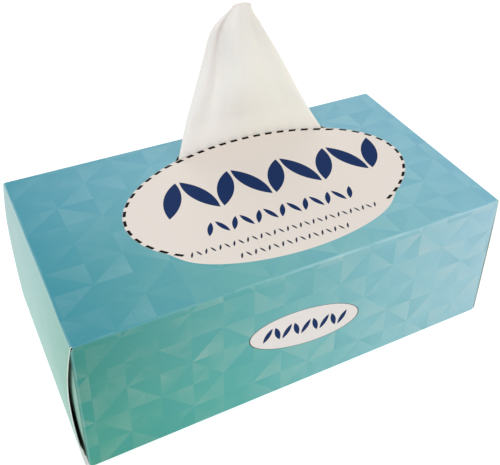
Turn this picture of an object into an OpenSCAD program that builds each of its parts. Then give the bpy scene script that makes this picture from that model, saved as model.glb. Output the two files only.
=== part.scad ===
// Flat tissue box: a folded carton with a perforated oval flap, the stack of
// folded tissues inside it, and the first tissue drawn up behind the flap.
// The origin is at the centre of the base. X runs along the front, Y to the
// back and Z up. All sizes are in millimetres.

/* [Carton] */
// Length of the carton from end fold to end fold
carton_length = 230; // [200:1:280]
// Depth of the carton from front to back
carton_depth = 128; // [116:1:150]
// Height of the carton
carton_height = 80; // [60:1:110]
// Thickness of the card
card = 0.5; // [0.35:0.05:0.7]
// Outside radius of the folds
fold_radius = 1.2; // [0.9:0.1:2]
// Width of the glued seam strip inside the back
seam_width = 16; // [10:1:25]

/* [End closures] */
// How far the outer flap of the left end bows out along its front edge
left_bow_front = 4; // [2:0.1:6]
// How far the outer flap of the left end bows out along its back edge
left_bow_back = 2; // [1:0.1:4]
// How far the outer flap of the right end bows out along its front edge
right_bow_front = 1.2; // [1:0.1:6]
// How far the outer flap of the right end bows out along its back edge
right_bow_back = 1; // [1:0.1:4]
// How far the foot of an outer end flap stands out
bow_foot = 1; // [0.8:0.1:1.6]
// Height above the base where the bow is deepest
bow_level = 46; // [34:1:52]
// How far the sides of the end flaps stay inside the front and the back
flap_inset = 0.8; // [0.5:0.1:2]
// Height of the inner end flap that folds up from the bottom
inner_flap_height = 48; // [30:1:54]
// Length of the dust flaps that fold in from the front and the back
dust_flap_length = 44; // [25:1:55]
// How far the sides of the inner end flap stay inside the front and the back
inner_inset = 7; // [2:0.5:12]
// Clearance between the layers of an end closure
layer_gap = 0.1; // [0.05:0.05:0.3]
// Open gap between the outer end flap and the dust flap that springs out behind it
spring_gap = 0.9; // [0.8:0.05:1.5]
// Distance from its fold over which the dust flap springs out
spring_length = 3.5; // [3.5:0.5:10]

/* [Oval flap] */
// Place of the oval along the carton
oval_x = 12; // [0:1:20]
// Place of the oval across the carton
oval_y = 0.6; // [-3:0.1:3]
// Half of the oval's length
oval_half_length = 81.7; // [70:0.1:90]
// Half of the oval's width
oval_half_width = 49.3; // [44:0.1:52]
// Rise of the oval's long axis for each millimetre along it
oval_lean = 0.029; // [0:0.001:0.05]
// Distance from the oval's centre line forward to the flap's hinge crease
hinge_reach = 38.6; // [30:0.1:42]
// Gap that the torn perforation leaves round the flap
kerf = 0.2; // [0.1:0.05:0.4]

/* [Tissues] */
// Thickness of a tissue
ply = 0.3; // [0.25:0.05:0.35]
// Length of the stack
stack_length = 212; // [180:1:218]
// Depth of the stack
stack_depth = 112; // [100:1:116]
// Free height over the stack
headspace = 13.5; // [11:0.5:20]
// Number of folded edges along one side of the stack
stack_folds = 22; // [14:1:30]
// How far each folded edge stands out
fold_bulge = 1.2; // [0.6:0.1:1.8]
// Clearance between the drawn tissue and what it lies on or passes
tissue_gap = 0.3; // [0.2:0.05:0.4]

/* [Drawn tissue] */
// Place of the drawn tissue along the carton where it leaves the box
tissue_x = 21.5; // [10:0.1:26]
// Half of its width where it leaves the box
tissue_half_width = 43.5; // [30:0.1:46]
// How much wider it flares out right at the mouth
mouth_flare = 1.2; // [0:0.1:2]
// Place of its tip along the carton
tip_x = 18.4; // [5:0.1:25]
// Half of its width at the tip
tip_half_width = 8; // [5:0.1:9]
// Height of the tip over the carton
tip_rise = 83; // [60:1:110]
// How far the corners of the tip are rounded down
tip_drop = 1.2; // [0.6:0.1:1.4]
// How far it sways to the left below the tip
tip_sway = 3.6; // [0:0.1:5]
// How far it leans back where it leaves the box
back_lean = 1.2; // [1:0.1:2]
// Distance between its layers where they are pressed together
layer_pitch = 0.95; // [0.8:0.05:1]
// Added distance between its layers where it is fullest
fullness = 3.2; // [1:0.1:5]
// Added distance between its layers at the tip
tip_fullness = 0.8; // [0.6:0.1:1.2]
// Depth of the long soft folds
pleat_depth = 4.5; // [1:0.1:6]
// Length of its tail that still lies on the stack
tail_length = 62; // [30:1:80]
// Half of the tail's width
tail_half_width = 62; // [48:1:80]
// Radius of the turn from the tail up to the mouth
turn_radius = 7; // [5:0.5:9]

/* [Hidden] */
// Segments of the oval, of a bowed end flap, of a fold, and of the stretch
// over which a dust flap springs out
oval_steps = 96;
bow_steps = 14;
fold_steps = 4;
spring_steps = 4;
// Segments of the tissue's five stretches across and four stretches along
across_steps = [12, 6, 14, 8, 11];
along_steps = [5, 6, 20, 8];
// Overlap that joins two stretches of the same sheet
join = 1;
// Height over which a flap that folds up at the bottom takes the bow
foot_length = 9;
half_length = carton_length / 2;
half_depth = carton_depth / 2;
flap_half = half_depth - flap_inset;
// The dust flaps lie inside the inner flap, which lies inside the outer flap
dust_inset = card + layer_gap;
sleeve_half = half_length - dust_inset - fold_radius;
// Hinge crease of the oval flap and the oval's angles at its two ends
hinge_y = oval_y - hinge_reach;
lean_angle = atan(oval_lean * oval_half_length / oval_half_width);
hinge_angle = asin(-hinge_reach / oval_half_width * cos(lean_angle));
hinge_right = hinge_angle - lean_angle;
hinge_left = 180 - hinge_angle - lean_angle;
// Mouth behind the flap: its depth, and its ends as angles on the oval
throat_depth = 2 * tissue_gap + 2 * layer_pitch + ply + kerf;
throat_taper = 2.5;
throat_margin = 0.5;
mouth_half = tissue_half_width + mouth_flare;
throat_right = acos((tissue_x + mouth_half - oval_x) / oval_half_length) - throat_margin;
throat_left = acos((tissue_x - mouth_half - oval_x) / oval_half_length) + throat_margin;
// Drawn tissue: height of its top layer on the stack, and lengths of its path
stack_top = carton_height - card - headspace;
stack_height = stack_top - card;
tail_z = stack_top + tissue_gap + ply / 2 + 2 * layer_pitch;
back_y = oval_y + oval_half_width + tissue_gap + ply / 2;
turn_length = turn_radius * PI / 2;
rise_start = tail_z + turn_radius;
rise_length = carton_height + tip_rise - rise_start;
path_length = tail_length + turn_length + rise_length;
mouth_station = tail_length + turn_length + carton_height - rise_start;
// Free edges of the middle and of the back layer, as shares of the half width
middle_edge = 0.7;
back_edge = 0.89;
// Reach of the left turn past the straight layers, as a share of their pitch
left_turn = 0.8;
// Share of the rise where the tip begins to round off, and how much of its
// width and of its long folds it loses there
tip_start = 0.83;
tip_narrowing = 0.32;
tip_flattening = 0.7;
// Power of the taper from the mouth to the tip, and of the mouth's arc as it fades
taper_power = 0.9;
arc_power = 1.2;
// Shares of the rise over which the flare ends, the long folds deepen and the
// tissue leans back
flare_rise = 0.4;
pleat_rise = 0.5;
lean_rise = 0.2;
// Half width at which the long folds are no longer held in by the edges
full_pleat_half = 18;
// Straight stretch of the tissue below the mouth
throat_run = 3;

// Smooth step from 0 to 1
function ease(t) = let (c = min(max(t, 0), 1)) c * c * (3 - 2 * c);
// Bell curve of the given middle and half width
function bell(t, middle, half) = exp(-pow((t - middle) / half, 2));

// Places from the first mark to the last, with a number of steps in each stretch between two marks
function stations(marks, steps) = [
    for (k = [0 : len(steps) - 1]) for (i = [(k == 0 ? 0 : 1) : steps[k]])
        marks[k] + (marks[k + 1] - marks[k]) * i / steps[k]
];

// Point of the oval at an angle, moved out by grow
function oval_point(angle, grow) = [
    oval_x + (oval_half_length + grow) * cos(angle),
    oval_y + (oval_half_width + grow) * sin(angle) + oval_lean * oval_half_length * cos(angle)
];
// Back edge of the oval over a place along X
function oval_back(x) = oval_y + oval_lean * (x - oval_x)
    + oval_half_width * sqrt(1 - pow((x - oval_x) / oval_half_length, 2));
// Share of the mouth's depth at an angle of the oval
function throat(angle) = ease((angle - throat_right) / throat_taper + 1)
    * ease((throat_left - angle) / throat_taper + 1);
// Outline round the back from one end of the hinge crease to the other
function flap_outline() = [
    for (i = [0 : oval_steps])
        oval_point(hinge_right + (hinge_left - hinge_right) * i / oval_steps, 0)
];
function mouth_outline() = [
    for (i = [0 : oval_steps])
        let (angle = hinge_right + (hinge_left - hinge_right) * i / oval_steps)
        oval_point(angle, kerf * ease(min(i, oval_steps - i) / 2))
            + [0, throat_depth * throat(angle)]
];

// Unit normal to the right of a path at one of its points
function side_of(path, i) =
    let (a = path[max(i - 1, 0)], b = path[min(i + 1, len(path) - 1)], d = b - a)
    [d[1], -d[0]] / norm(d);
// Path moved to its right by a distance
function shifted(path, distance) = [
    for (i = [0 : len(path) - 1]) path[i] + distance * side_of(path, i)
];
// Outline of a sheet whose left face follows a path
function band(path, thickness) = concat(
    path,
    [for (i = [len(path) - 1 : -1 : 0]) shifted(path, thickness)[i]]
);

// Depth of a bow, given at the front and at the back edge, at a place along Y
function bow_depth(y, bow) = bow[0] + (bow[1] - bow[0]) * (y / (2 * flap_half) + 0.5);
// Bow of an end flap at a height, from the fold at the top to its foot
function bow_at(z, depth) = z > bow_level
    ? depth * (1 - pow((z - bow_level) / (carton_height - fold_radius - bow_level), 2))
    : bow_foot + (depth - bow_foot) * (1 - pow((bow_level - z) / bow_level, 2));
// Share of the bow that a flap folded up at the bottom has taken at a height
function foot_ease(z) = ease((z - fold_radius) / foot_length);
// Outer end flap seen from the front, as [distance past the fold, height]
function outer_flap_path(depth) = concat(
    [[-fold_radius - dust_inset - join, carton_height]],
    [for (i = [fold_steps : -1 : 0])
        let (a = 90 * i / fold_steps)
        [-fold_radius + fold_radius * cos(a), carton_height - fold_radius + fold_radius * sin(a)]],
    [for (i = [1 : bow_steps])
        let (z = (carton_height - fold_radius) * (1 - i / bow_steps) + card * i / bow_steps)
        [bow_at(z, depth), z]]
);
// Inner end flap: it folds up from the bottom and lies against the outer one
function inner_flap_path(depth) = concat(
    [for (i = [bow_steps : -1 : 1])
        let (z = fold_radius + (inner_flap_height - fold_radius) * i / bow_steps)
        [(bow_at(z, depth) - card + layer_gap / 4) * foot_ease(z), z]],
    [for (i = [0 : fold_steps])
        let (a = -90 * i / fold_steps)
        [-fold_radius + fold_radius * cos(a), fold_radius + fold_radius * sin(a)]],
    [[-fold_radius - dust_inset - join, 0]]
);

// Sheet that runs straight from a front path to a back path, its outside on them
module ruled_sheet(front, back, half_width) {
    front_in = shifted(front, card);
    back_in = shifted(back, card);
    n = len(front);
    rails = [front, back, back_in, front_in];
    sides = [-half_width, half_width, half_width, -half_width];
    points = [for (i = [0 : n - 1]) for (r = [0 : 3]) [rails[r][i][0], sides[r], rails[r][i][1]]];
    walls = [
        for (i = [0 : n - 2]) for (r = [0 : 3])
            let (a = 4 * i + r, b = 4 * i + (r + 1) % 4)
            each facets(a, a + 4, b + 4, b)
    ];
    last = 4 * (n - 1);
    caps = [[2, 1, 0], [3, 2, 0], [last, last + 1, last + 2], [last, last + 2, last + 3]];
    polyhedron(points, concat(walls, caps));
}

// Section with four quarter rounds at its corners
module round_section(depth, height, radius) {
    square([depth - 2 * radius, height], center = true);
    square([depth, height - 2 * radius], center = true);
    for (y = [-1, 1], z = [-1, 1])
        translate([y * (depth / 2 - radius), z * (height / 2 - radius)])
            circle(radius, $fn = 32);
}

// Tube of card that wraps round front, top, back and bottom
module sleeve() {
    translate([-sleeve_half, 0, carton_height / 2])
        rotate([90, 0, 90])
            linear_extrude(2 * sleeve_half)
                difference() {
                    round_section(carton_depth, carton_height, fold_radius);
                    round_section(carton_depth - 2 * card, carton_height - 2 * card, fold_radius - card);
                }
}

// Strip of the bottom that is glued up inside the back
module glued_seam() {
    translate([-sleeve_half, half_depth - 2 * card, card])
        cube([2 * sleeve_half, card + layer_gap / 2, seam_width]);
}

// Point of a dust flap at the right end: t runs along the panel that it joins
// from -1, round the fold from 0, and along the flap from 1 to 2. Past the fold
// the flap springs out behind the bowed outer flap.
function dust_point(t, z, side, bow) =
    t < 0 ? [sleeve_half + join * t, -half_depth, z]
    : t < 1 ? [sleeve_half + fold_radius * sin(90 * t), -half_depth + fold_radius * (1 - cos(90 * t)), z]
    : let (
        reach = (dust_flap_length - fold_radius) * (t - 1),
        y = -half_depth + fold_radius + reach,
        out = max(bow_at(z, bow_depth(-side * y, bow)) - spring_gap + layer_gap, 0)
    )
    [sleeve_half + fold_radius + out * foot_ease(z) * ease(reach / spring_length), y, z];
function dust_normal(t, z, side, bow) =
    let (
        e = 0.001,
        along = dust_point(t + e, z, side, bow) - dust_point(t - e, z, side, bow),
        up = dust_point(t, z + e, side, bow) - dust_point(t, z - e, side, bow),
        n = cross(along, up)
    )
    n / norm(n);

// Dust flap at the right end, folded in from the front at side -1 and from the
// back at side 1
module dust_flap(side, bow) {
    spring_share = spring_length / (dust_flap_length - fold_radius);
    across = stations([-1, 0, 1, 1 + spring_share, 2], [1, fold_steps, spring_steps, 1]);
    low = fold_radius;
    high = carton_height - fold_radius;
    outside = [
        for (i = [0 : bow_steps]) for (t = across)
            let (z = low + (high - low) * i / bow_steps)
            [dust_point(t, z, side, bow), dust_normal(t, z, side, bow)]
    ];
    mirror([0, (side + 1) / 2, 0])
        skin_pair(
            [for (g = outside) g[0]],
            [for (g = outside) g[0] - card * g[1]],
            len(across)
        );
}

// Two facets of a four-sided face
function facets(a, b, c, d) = [[a, c, b], [a, d, c]];
// Closed sheet between two grids of points, the outer and the inner one, with a
// given number of points in each row
module skin_pair(outer, inner, across) {
    total = len(outer);
    rows = total / across;
    skins = [
        for (j = [0 : rows - 2]) for (i = [0 : across - 2])
            let (a = j * across + i, b = a + 1, c = a + across, d = c + 1)
            each concat(facets(a, b, d, c), facets(a + total, c + total, d + total, b + total))
    ];
    ends = [
        for (i = [0 : across - 2])
            let (a = i, b = i + 1, c = (rows - 1) * across + i, d = c + 1)
            each concat(facets(a, a + total, b + total, b), facets(c, d, d + total, c + total))
    ];
    sides = [
        for (j = [0 : rows - 2])
            let (a = j * across, b = a + across, c = b - 1, d = c + across)
            each concat(facets(a, b, b + total, a + total), facets(c, c + total, d + total, d))
    ];
    polyhedron(concat(outer, inner), concat(skins, ends, sides));
}

// Closure at the right end, with the depths of its bow at the front and the back
module end_closure(bow) {
    inner_half = half_depth - inner_inset;
    translate([half_length, 0, 0]) {
        ruled_sheet(outer_flap_path(bow[0]), outer_flap_path(bow[1]), flap_half);
        ruled_sheet(
            inner_flap_path(bow_depth(-inner_half, bow)),
            inner_flap_path(bow_depth(inner_half, bow)),
            inner_half
        );
    }
    dust_flap(-1, bow);
    dust_flap(1, bow);
}

// Folded and glued carton with the mouth cut through its top
module carton() {
    color("mediumturquoise") {
        difference() {
            sleeve();
            translate([0, 0, carton_height - card - join])
                linear_extrude(card + 2 * join)
                    polygon(mouth_outline());
        }
        glued_seam();
        end_closure([right_bow_front, right_bow_back]);
        mirror([1, 0, 0]) end_closure([left_bow_front, left_bow_back]);
    }
}

// Oval panel that lifts along its perforation and turns on its straight crease
module opening_flap() {
    color("antiquewhite")
        translate([0, 0, carton_height - card])
            linear_extrude(card)
                polygon(flap_outline());
}

// Side of the stack: folded edges of half the tissues, one over another
function folded_edges(start, side) = [
    for (i = [0 : stack_folds * 4])
        let (t = i / (stack_folds * 4), z = start + t * (stack_height - 2 * start))
        [side * (stack_depth / 2 - fold_bulge + fold_bulge * abs(sin(180 * stack_folds * t))), z]
];

// Stack of interfolded tissues
module tissue_stack() {
    edges = folded_edges(0, 1);
    others = folded_edges(0, -1);
    color("whitesmoke")
        translate([-stack_length / 2, 0, card])
            rotate([90, 0, 90])
                linear_extrude(stack_length)
                    polygon(concat(edges, [for (i = [len(others) - 1 : -1 : 0]) others[i]]));
}

// Section through the wrapped tissue as [place across, depth]. Its five
// stretches are the middle layer, the left turn, the front layer, the right
// turn and the back layer, and q counts them.
function section(q, half, pitch) =
    let (left = left_turn * pitch - half, right = half - pitch)
    q < 1 ? [middle_edge * half + (left - middle_edge * half) * q, -pitch]
    : q < 2 ? [left - left_turn * pitch * sin(180 * (q - 1)), -pitch / 2 * (1 + cos(180 * (q - 1)))]
    : q < 3 ? [left + (right - left) * (q - 2), 0]
    : q < 4 ? [right + pitch * sin(180 * (q - 3)), pitch * (cos(180 * (q - 3)) - 1)]
    : [right - (right + back_edge * half) * (q - 4), -2 * pitch];
// Long soft folds across the tissue, from its left edge at 0 to its right at 1
function pleats(f) = -0.55 * bell(f, 0.18, 0.07) + 0.8 * bell(f, 0.45, 0.2)
    - 0.45 * bell(f, 0.78, 0.08) + 0.25 * bell(f, 0.06, 0.05);
// Share of the way from the carton's top to the tip, and of the way that the
// tip takes to round off
function rise_share(s) = min(max((s - mouth_station) / tip_rise, 0), 1);
function tip_share(s) = ease((rise_share(s) - tip_start) / (1 - tip_start));
// Half width and middle of the tissue along its path
function tissue_half(s) =
    let (h = rise_share(s))
    s > mouth_station
        ? tip_half_width * (1 - tip_narrowing * tip_share(s))
            + (tissue_half_width - tip_half_width) * pow(1 - h, taper_power)
            + mouth_flare * pow(max(1 - h / flare_rise, 0), 2)
        : mouth_half + (tail_half_width - mouth_half)
            * ease(1 - s / (mouth_station - throat_run));
function tissue_middle(s) =
    let (h = rise_share(s))
    s > mouth_station
        ? tip_x + (tissue_x - tip_x) * (1 - h) - tip_sway * sin(180 * pow(h, 4))
        : tissue_x + (tip_x - tissue_x) * ease((mouth_station - s) / mouth_station);
// Distance between layers, widest a little under halfway up
function pitch_at(s) = layer_pitch + fullness * pow(sin(180 * pow(rise_share(s), 0.7)), 2)
    + tip_fullness * tip_share(s);
// Point of the path that the front layer follows, and its direction to the front
function path_y(s) = s < tail_length ? back_y - turn_radius - tail_length + s
    : s < tail_length + turn_length ? back_y - turn_radius
        + turn_radius * sin((s - tail_length) / turn_length * 90)
    : back_y + back_lean * ease(rise_share(s) / lean_rise);
function path_z(s) = s < tail_length ? tail_z
    : s < tail_length + turn_length ? rise_start
        - turn_radius * cos((s - tail_length) / turn_length * 90)
    : rise_start + s - tail_length - turn_length;
function front_turn(s) = 90 * min(max((s - tail_length) / turn_length, 0), 1);
// How far the arc of the mouth brings the tissue forward at a place along X
function mouth_bow(x, s) =
    (oval_y + oval_half_width - oval_back(x)) * pow(1 - rise_share(s), arc_power)
        * min(s / tail_length, 1);
// Point of the drawn tissue: q goes round its layers and s along its path
function tissue_point(q, s) =
    let (
        half = tissue_half(s),
        across = section(q, half, pitch_at(s)),
        side = across[0] / half,
        x = tissue_middle(s) + across[0],
        tip = tip_share(s),
        deepened = ease(rise_share(s) / pleat_rise) * min(1, half / full_pleat_half),
        soft = pleat_depth * deepened * (1 - tip_flattening * tip),
        depth = across[1] + soft * pleats((side + 1) / 2),
        turn = front_turn(s)
    )
    [
        x,
        path_y(s) - depth * sin(turn) - mouth_bow(x, s),
        path_z(s) + depth * cos(turn) - tip_drop * side * side * tip
    ];
// Direction square to the sheet
function tissue_normal(q, s) =
    let (
        e = 0.01,
        a = tissue_point(q + e, s) - tissue_point(q - e, s),
        b = tissue_point(q, s + e) - tissue_point(q, s - e),
        n = cross(a, b)
    )
    n / norm(n);

// First tissue: its tail on the stack, its throat in the mouth, its tip drawn up
module pulled_tissue() {
    across = stations([0, 1, 2, 3, 4, 5], across_steps);
    tip_station = path_length - tip_rise * (1 - tip_start);
    marks = [0, tail_length, tail_length + turn_length, tip_station, path_length];
    along = stations(marks, along_steps);
    grid = [for (s = along) for (q = across) [tissue_point(q, s), tissue_normal(q, s)]];
    color("white")
        skin_pair(
            [for (g = grid) g[0] + g[1] * ply / 2],
            [for (g = grid) g[0] - g[1] * ply / 2],
            len(across)
        );
}

carton();
opening_flap();
tissue_stack();
pulled_tissue();
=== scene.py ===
"""Flat tissue box: a printed folding carton with an oval flap, and the tissues in it.

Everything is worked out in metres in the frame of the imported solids: X runs along the
front, Y to the back and Z up, and the origin is the centre of the base. Sizes are
written as multiples of MM.
"""

import logging
import math
from dataclasses import dataclass
from enum import Enum, IntEnum

import bpy
import numpy as np
from mathutils import Euler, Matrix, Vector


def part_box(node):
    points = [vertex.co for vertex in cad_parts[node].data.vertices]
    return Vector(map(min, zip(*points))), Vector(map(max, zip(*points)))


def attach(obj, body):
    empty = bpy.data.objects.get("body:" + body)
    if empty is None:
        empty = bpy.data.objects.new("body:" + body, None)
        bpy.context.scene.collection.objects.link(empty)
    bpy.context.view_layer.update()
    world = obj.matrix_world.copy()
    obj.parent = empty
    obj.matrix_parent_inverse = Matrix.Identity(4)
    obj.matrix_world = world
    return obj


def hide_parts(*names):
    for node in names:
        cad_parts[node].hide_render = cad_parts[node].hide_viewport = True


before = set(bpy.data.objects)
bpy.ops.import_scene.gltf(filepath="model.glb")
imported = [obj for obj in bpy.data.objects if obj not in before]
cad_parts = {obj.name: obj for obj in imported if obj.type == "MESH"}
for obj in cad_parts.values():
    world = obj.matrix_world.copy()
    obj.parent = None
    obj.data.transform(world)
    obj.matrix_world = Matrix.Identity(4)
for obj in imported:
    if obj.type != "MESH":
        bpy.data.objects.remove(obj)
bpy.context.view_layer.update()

LOG = logging.getLogger("tissue_box")
MM = 0.001
PER_MM = 1000.0
MERGE_WITHIN = 0.01 * MM
SMOOTH_UNDER = math.radians(34)
RATE_SPREAD = (0.8, 1.25)
RIPPLE_HEIGHT = 1.8

Array = np.ndarray
Socket = bpy.types.NodeSocket
Node = bpy.types.Node
Tree = bpy.types.NodeTree
Material = bpy.types.Material
Piece = bpy.types.Object


def ease(t: Array) -> Array:
    """Smooth step of a share: three times its square less twice its cube, held in 0 to 1."""
    c = np.clip(t, 0, 1)
    return c * c * (3 - 2 * c)


def bell(t: Array, middle: float, half: float) -> Array:
    """Bell curve: e to the minus square of the distance from the middle over the half width."""
    return np.exp(-(((t - middle) / half) ** 2))


def ripple(t: Array, seed: int, waves: int = 5, slowest: float = 1.0) -> Array:
    """Soft irregular line, a sum of sines whose rates grow and heights shrink.

    Args:
        t: Places at which the line is wanted.
        seed: Picks the phases and the rates.
        waves: Number of sines.
        slowest: Rate of the first sine, in turns for each unit of t.

    Returns:
        Heights between about -1 and 1, in the shape of t.
    """
    draw = np.random.default_rng(seed)
    total = np.zeros_like(np.asarray(t, float))
    for k in range(waves):
        rate = slowest * (k + 1) * draw.uniform(*RATE_SPREAD)
        total += np.sin(2 * np.pi * (rate * t + draw.uniform())) / (k + 1)
    return total / RIPPLE_HEIGHT


def stations(marks: list[float], steps: list[int]) -> Array:
    """Places from the first mark to the last, evenly spaced between each two marks.

    Args:
        marks: Places that the list has to contain, in order.
        steps: Number of steps in each stretch between two marks.

    Returns:
        All places in order, without doubles.
    """
    runs = [
        np.linspace(start, end, count + 1)[1:]
        for start, end, count in zip(marks[:-1], marks[1:], steps)
    ]
    return np.concatenate([[marks[0]], *runs])


def linear(colour: str) -> tuple[float, float, float, float]:
    """Linear colour of a hex colour, by the usual curve of a screen.

    Args:
        colour: The colour, as a hash sign and six hex digits.

    Returns:
        Red, green and blue from 0 to 1, and a full alpha.
    """
    parts = np.array([int(colour[i : i + 2], 16) for i in (1, 3, 5)]) / 255
    low = parts / 12.92
    high = ((parts + 0.055) / 1.055) ** 2.4
    return (*np.where(parts <= 0.04045, low, high).tolist(), 1.0)


class Finish(IntEnum):
    """Places of the materials on a piece of card."""

    FRONT = 0
    BACK = 1
    TOP = 2
    BOTTOM = 3
    END = 4
    BOARD = 5
    EDGE = 6


@dataclass
class Skin:
    """Points and four-sided faces of one surface.

    Attributes:
        points: One row of three for each point.
        faces: One row of four point numbers for each face, turned outwards.
        finishes: The finish of each face.
        worn: How worn each point is, from 0 to 1; it paints the folds pale, partly as rubbed ink and
            partly as a painted highlight.
    """

    points: Array
    faces: Array
    finishes: Array
    worn: Array

    @classmethod
    def of_grid(cls, grid: Array, finish: Array | int, worn: Array | float = 0.0) -> "Skin":
        """Skin over a grid whose outside is its row direction crossed with its column direction.

        Args:
            grid: Points in rows and columns.
            finish: One finish, or one for each face in rows and columns.
            worn: One value, or one for each point in rows and columns.

        Returns:
            The skin.
        """
        rows, columns = grid.shape[:2]
        number = np.arange(rows * columns).reshape(rows, columns)
        corners = [number[:-1, :-1], number[1:, :-1], number[1:, 1:], number[:-1, 1:]]
        faces = np.stack([c.ravel() for c in corners], 1)
        finishes = np.broadcast_to(finish, (rows - 1, columns - 1)).ravel()
        return cls(
            grid.reshape(-1, 3),
            faces,
            finishes.copy(),
            np.broadcast_to(worn, (rows, columns)).ravel().copy(),
        )

    @classmethod
    def gathered(cls, skins: list["Skin"]) -> "Skin":
        """One skin of several, with their points kept apart.

        Args:
            skins: The skins, in the order that their points take.

        Returns:
            The skin.
        """
        starts = np.cumsum([0] + [len(s.points) for s in skins[:-1]])
        return cls(
            np.concatenate([s.points for s in skins]),
            np.concatenate([s.faces + n for s, n in zip(skins, starts)]),
            np.concatenate([s.finishes for s in skins]),
            np.concatenate([s.worn for s in skins]),
        )

    @classmethod
    def joined(cls, skins: list["Skin"]) -> "Skin":
        """One skin of several, with points that coincide made one.

        Args:
            skins: The skins, whose edges meet point by point.

        Returns:
            The skin.
        """
        whole = cls.gathered(skins)
        keys = np.round(whole.points / MERGE_WITHIN).astype(np.int64)
        _, first, place = np.unique(keys, axis=0, return_index=True, return_inverse=True)
        faces = place.ravel()[whole.faces]
        return cls(whole.points[first], faces, whole.finishes, whole.worn[first])

    def normals(self) -> Array:
        """Unit normal at each point: the sum of the cross products of its faces' diagonals.

        Returns:
            One row of three for each point.
        """
        a, b, c, d = (self.points[self.faces[:, i]] for i in range(4))
        square = np.cross(c - a, d - b)
        total = np.zeros_like(self.points)
        for i in range(4):
            np.add.at(total, self.faces[:, i], square)
        return total / np.linalg.norm(total, axis=1, keepdims=True)

    def thick(self, thickness: float, inside: int, edge: int, share: float = 1.0) -> "Skin":
        """Closed sheet: this skin, one offset along its normals, and rims round open sides.

        Args:
            thickness: Thickness of the sheet.
            inside: Finish of the offset skin.
            edge: Finish of the rims.
            share: Share of the thickness that lies inwards of this skin.

        Returns:
            The closed skin.
        """
        normals = self.normals()
        count = len(self.points)
        starts = self.faces.ravel()
        ends = np.roll(self.faces, -1, axis=1).ravel()
        open_side = ~np.isin(starts * count + ends, ends * count + starts)
        a, b = starts[open_side], ends[open_side]
        rims = np.stack([b, a, a + count, b + count], 1)
        finishes = [
            self.finishes,
            np.full(len(self.faces), inside),
            np.full(len(rims), edge),
        ]
        outer = self.points + normals * thickness * (1 - share)
        inner = self.points - normals * thickness * share
        return Skin(
            np.concatenate([outer, inner]),
            np.concatenate([self.faces, self.faces[:, ::-1] + count, rims]),
            np.concatenate(finishes),
            np.concatenate([self.worn, self.worn]),
        )

    def mirrored(self, axis: int) -> "Skin":
        """The skin on the other side of the plane across an axis, still turned outwards.

        Args:
            axis: Number of the axis, 0 for X or 1 for Y.

        Returns:
            The skin.
        """
        points = self.points.copy()
        points[:, axis] *= -1
        return Skin(points, self.faces[:, ::-1], self.finishes, self.worn)

    def piece(self, name: str, materials: list[Material]) -> Piece:
        """Blender object of this skin, at the origin.

        Args:
            name: Name of the piece.
            materials: Materials in the order of the finishes.

        Returns:
            The object, linked to the scene.
        """
        mesh = bpy.data.meshes.new(name)
        mesh.from_pydata(self.points.tolist(), [], self.faces.tolist())
        for material in materials:
            mesh.materials.append(material)
        mesh.polygons.foreach_set("material_index", self.finishes.astype(np.int32))
        mesh.polygons.foreach_set("use_smooth", np.ones(len(self.faces), bool))
        worn = mesh.attributes.new("worn", "FLOAT", "POINT")
        worn.data.foreach_set("value", self.worn.astype(np.float32))
        mesh.update()
        mesh.set_sharp_from_angle(angle=SMOOTH_UNDER)
        piece = bpy.data.objects.new(name, mesh)
        bpy.context.scene.collection.objects.link(piece)
        return piece


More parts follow.
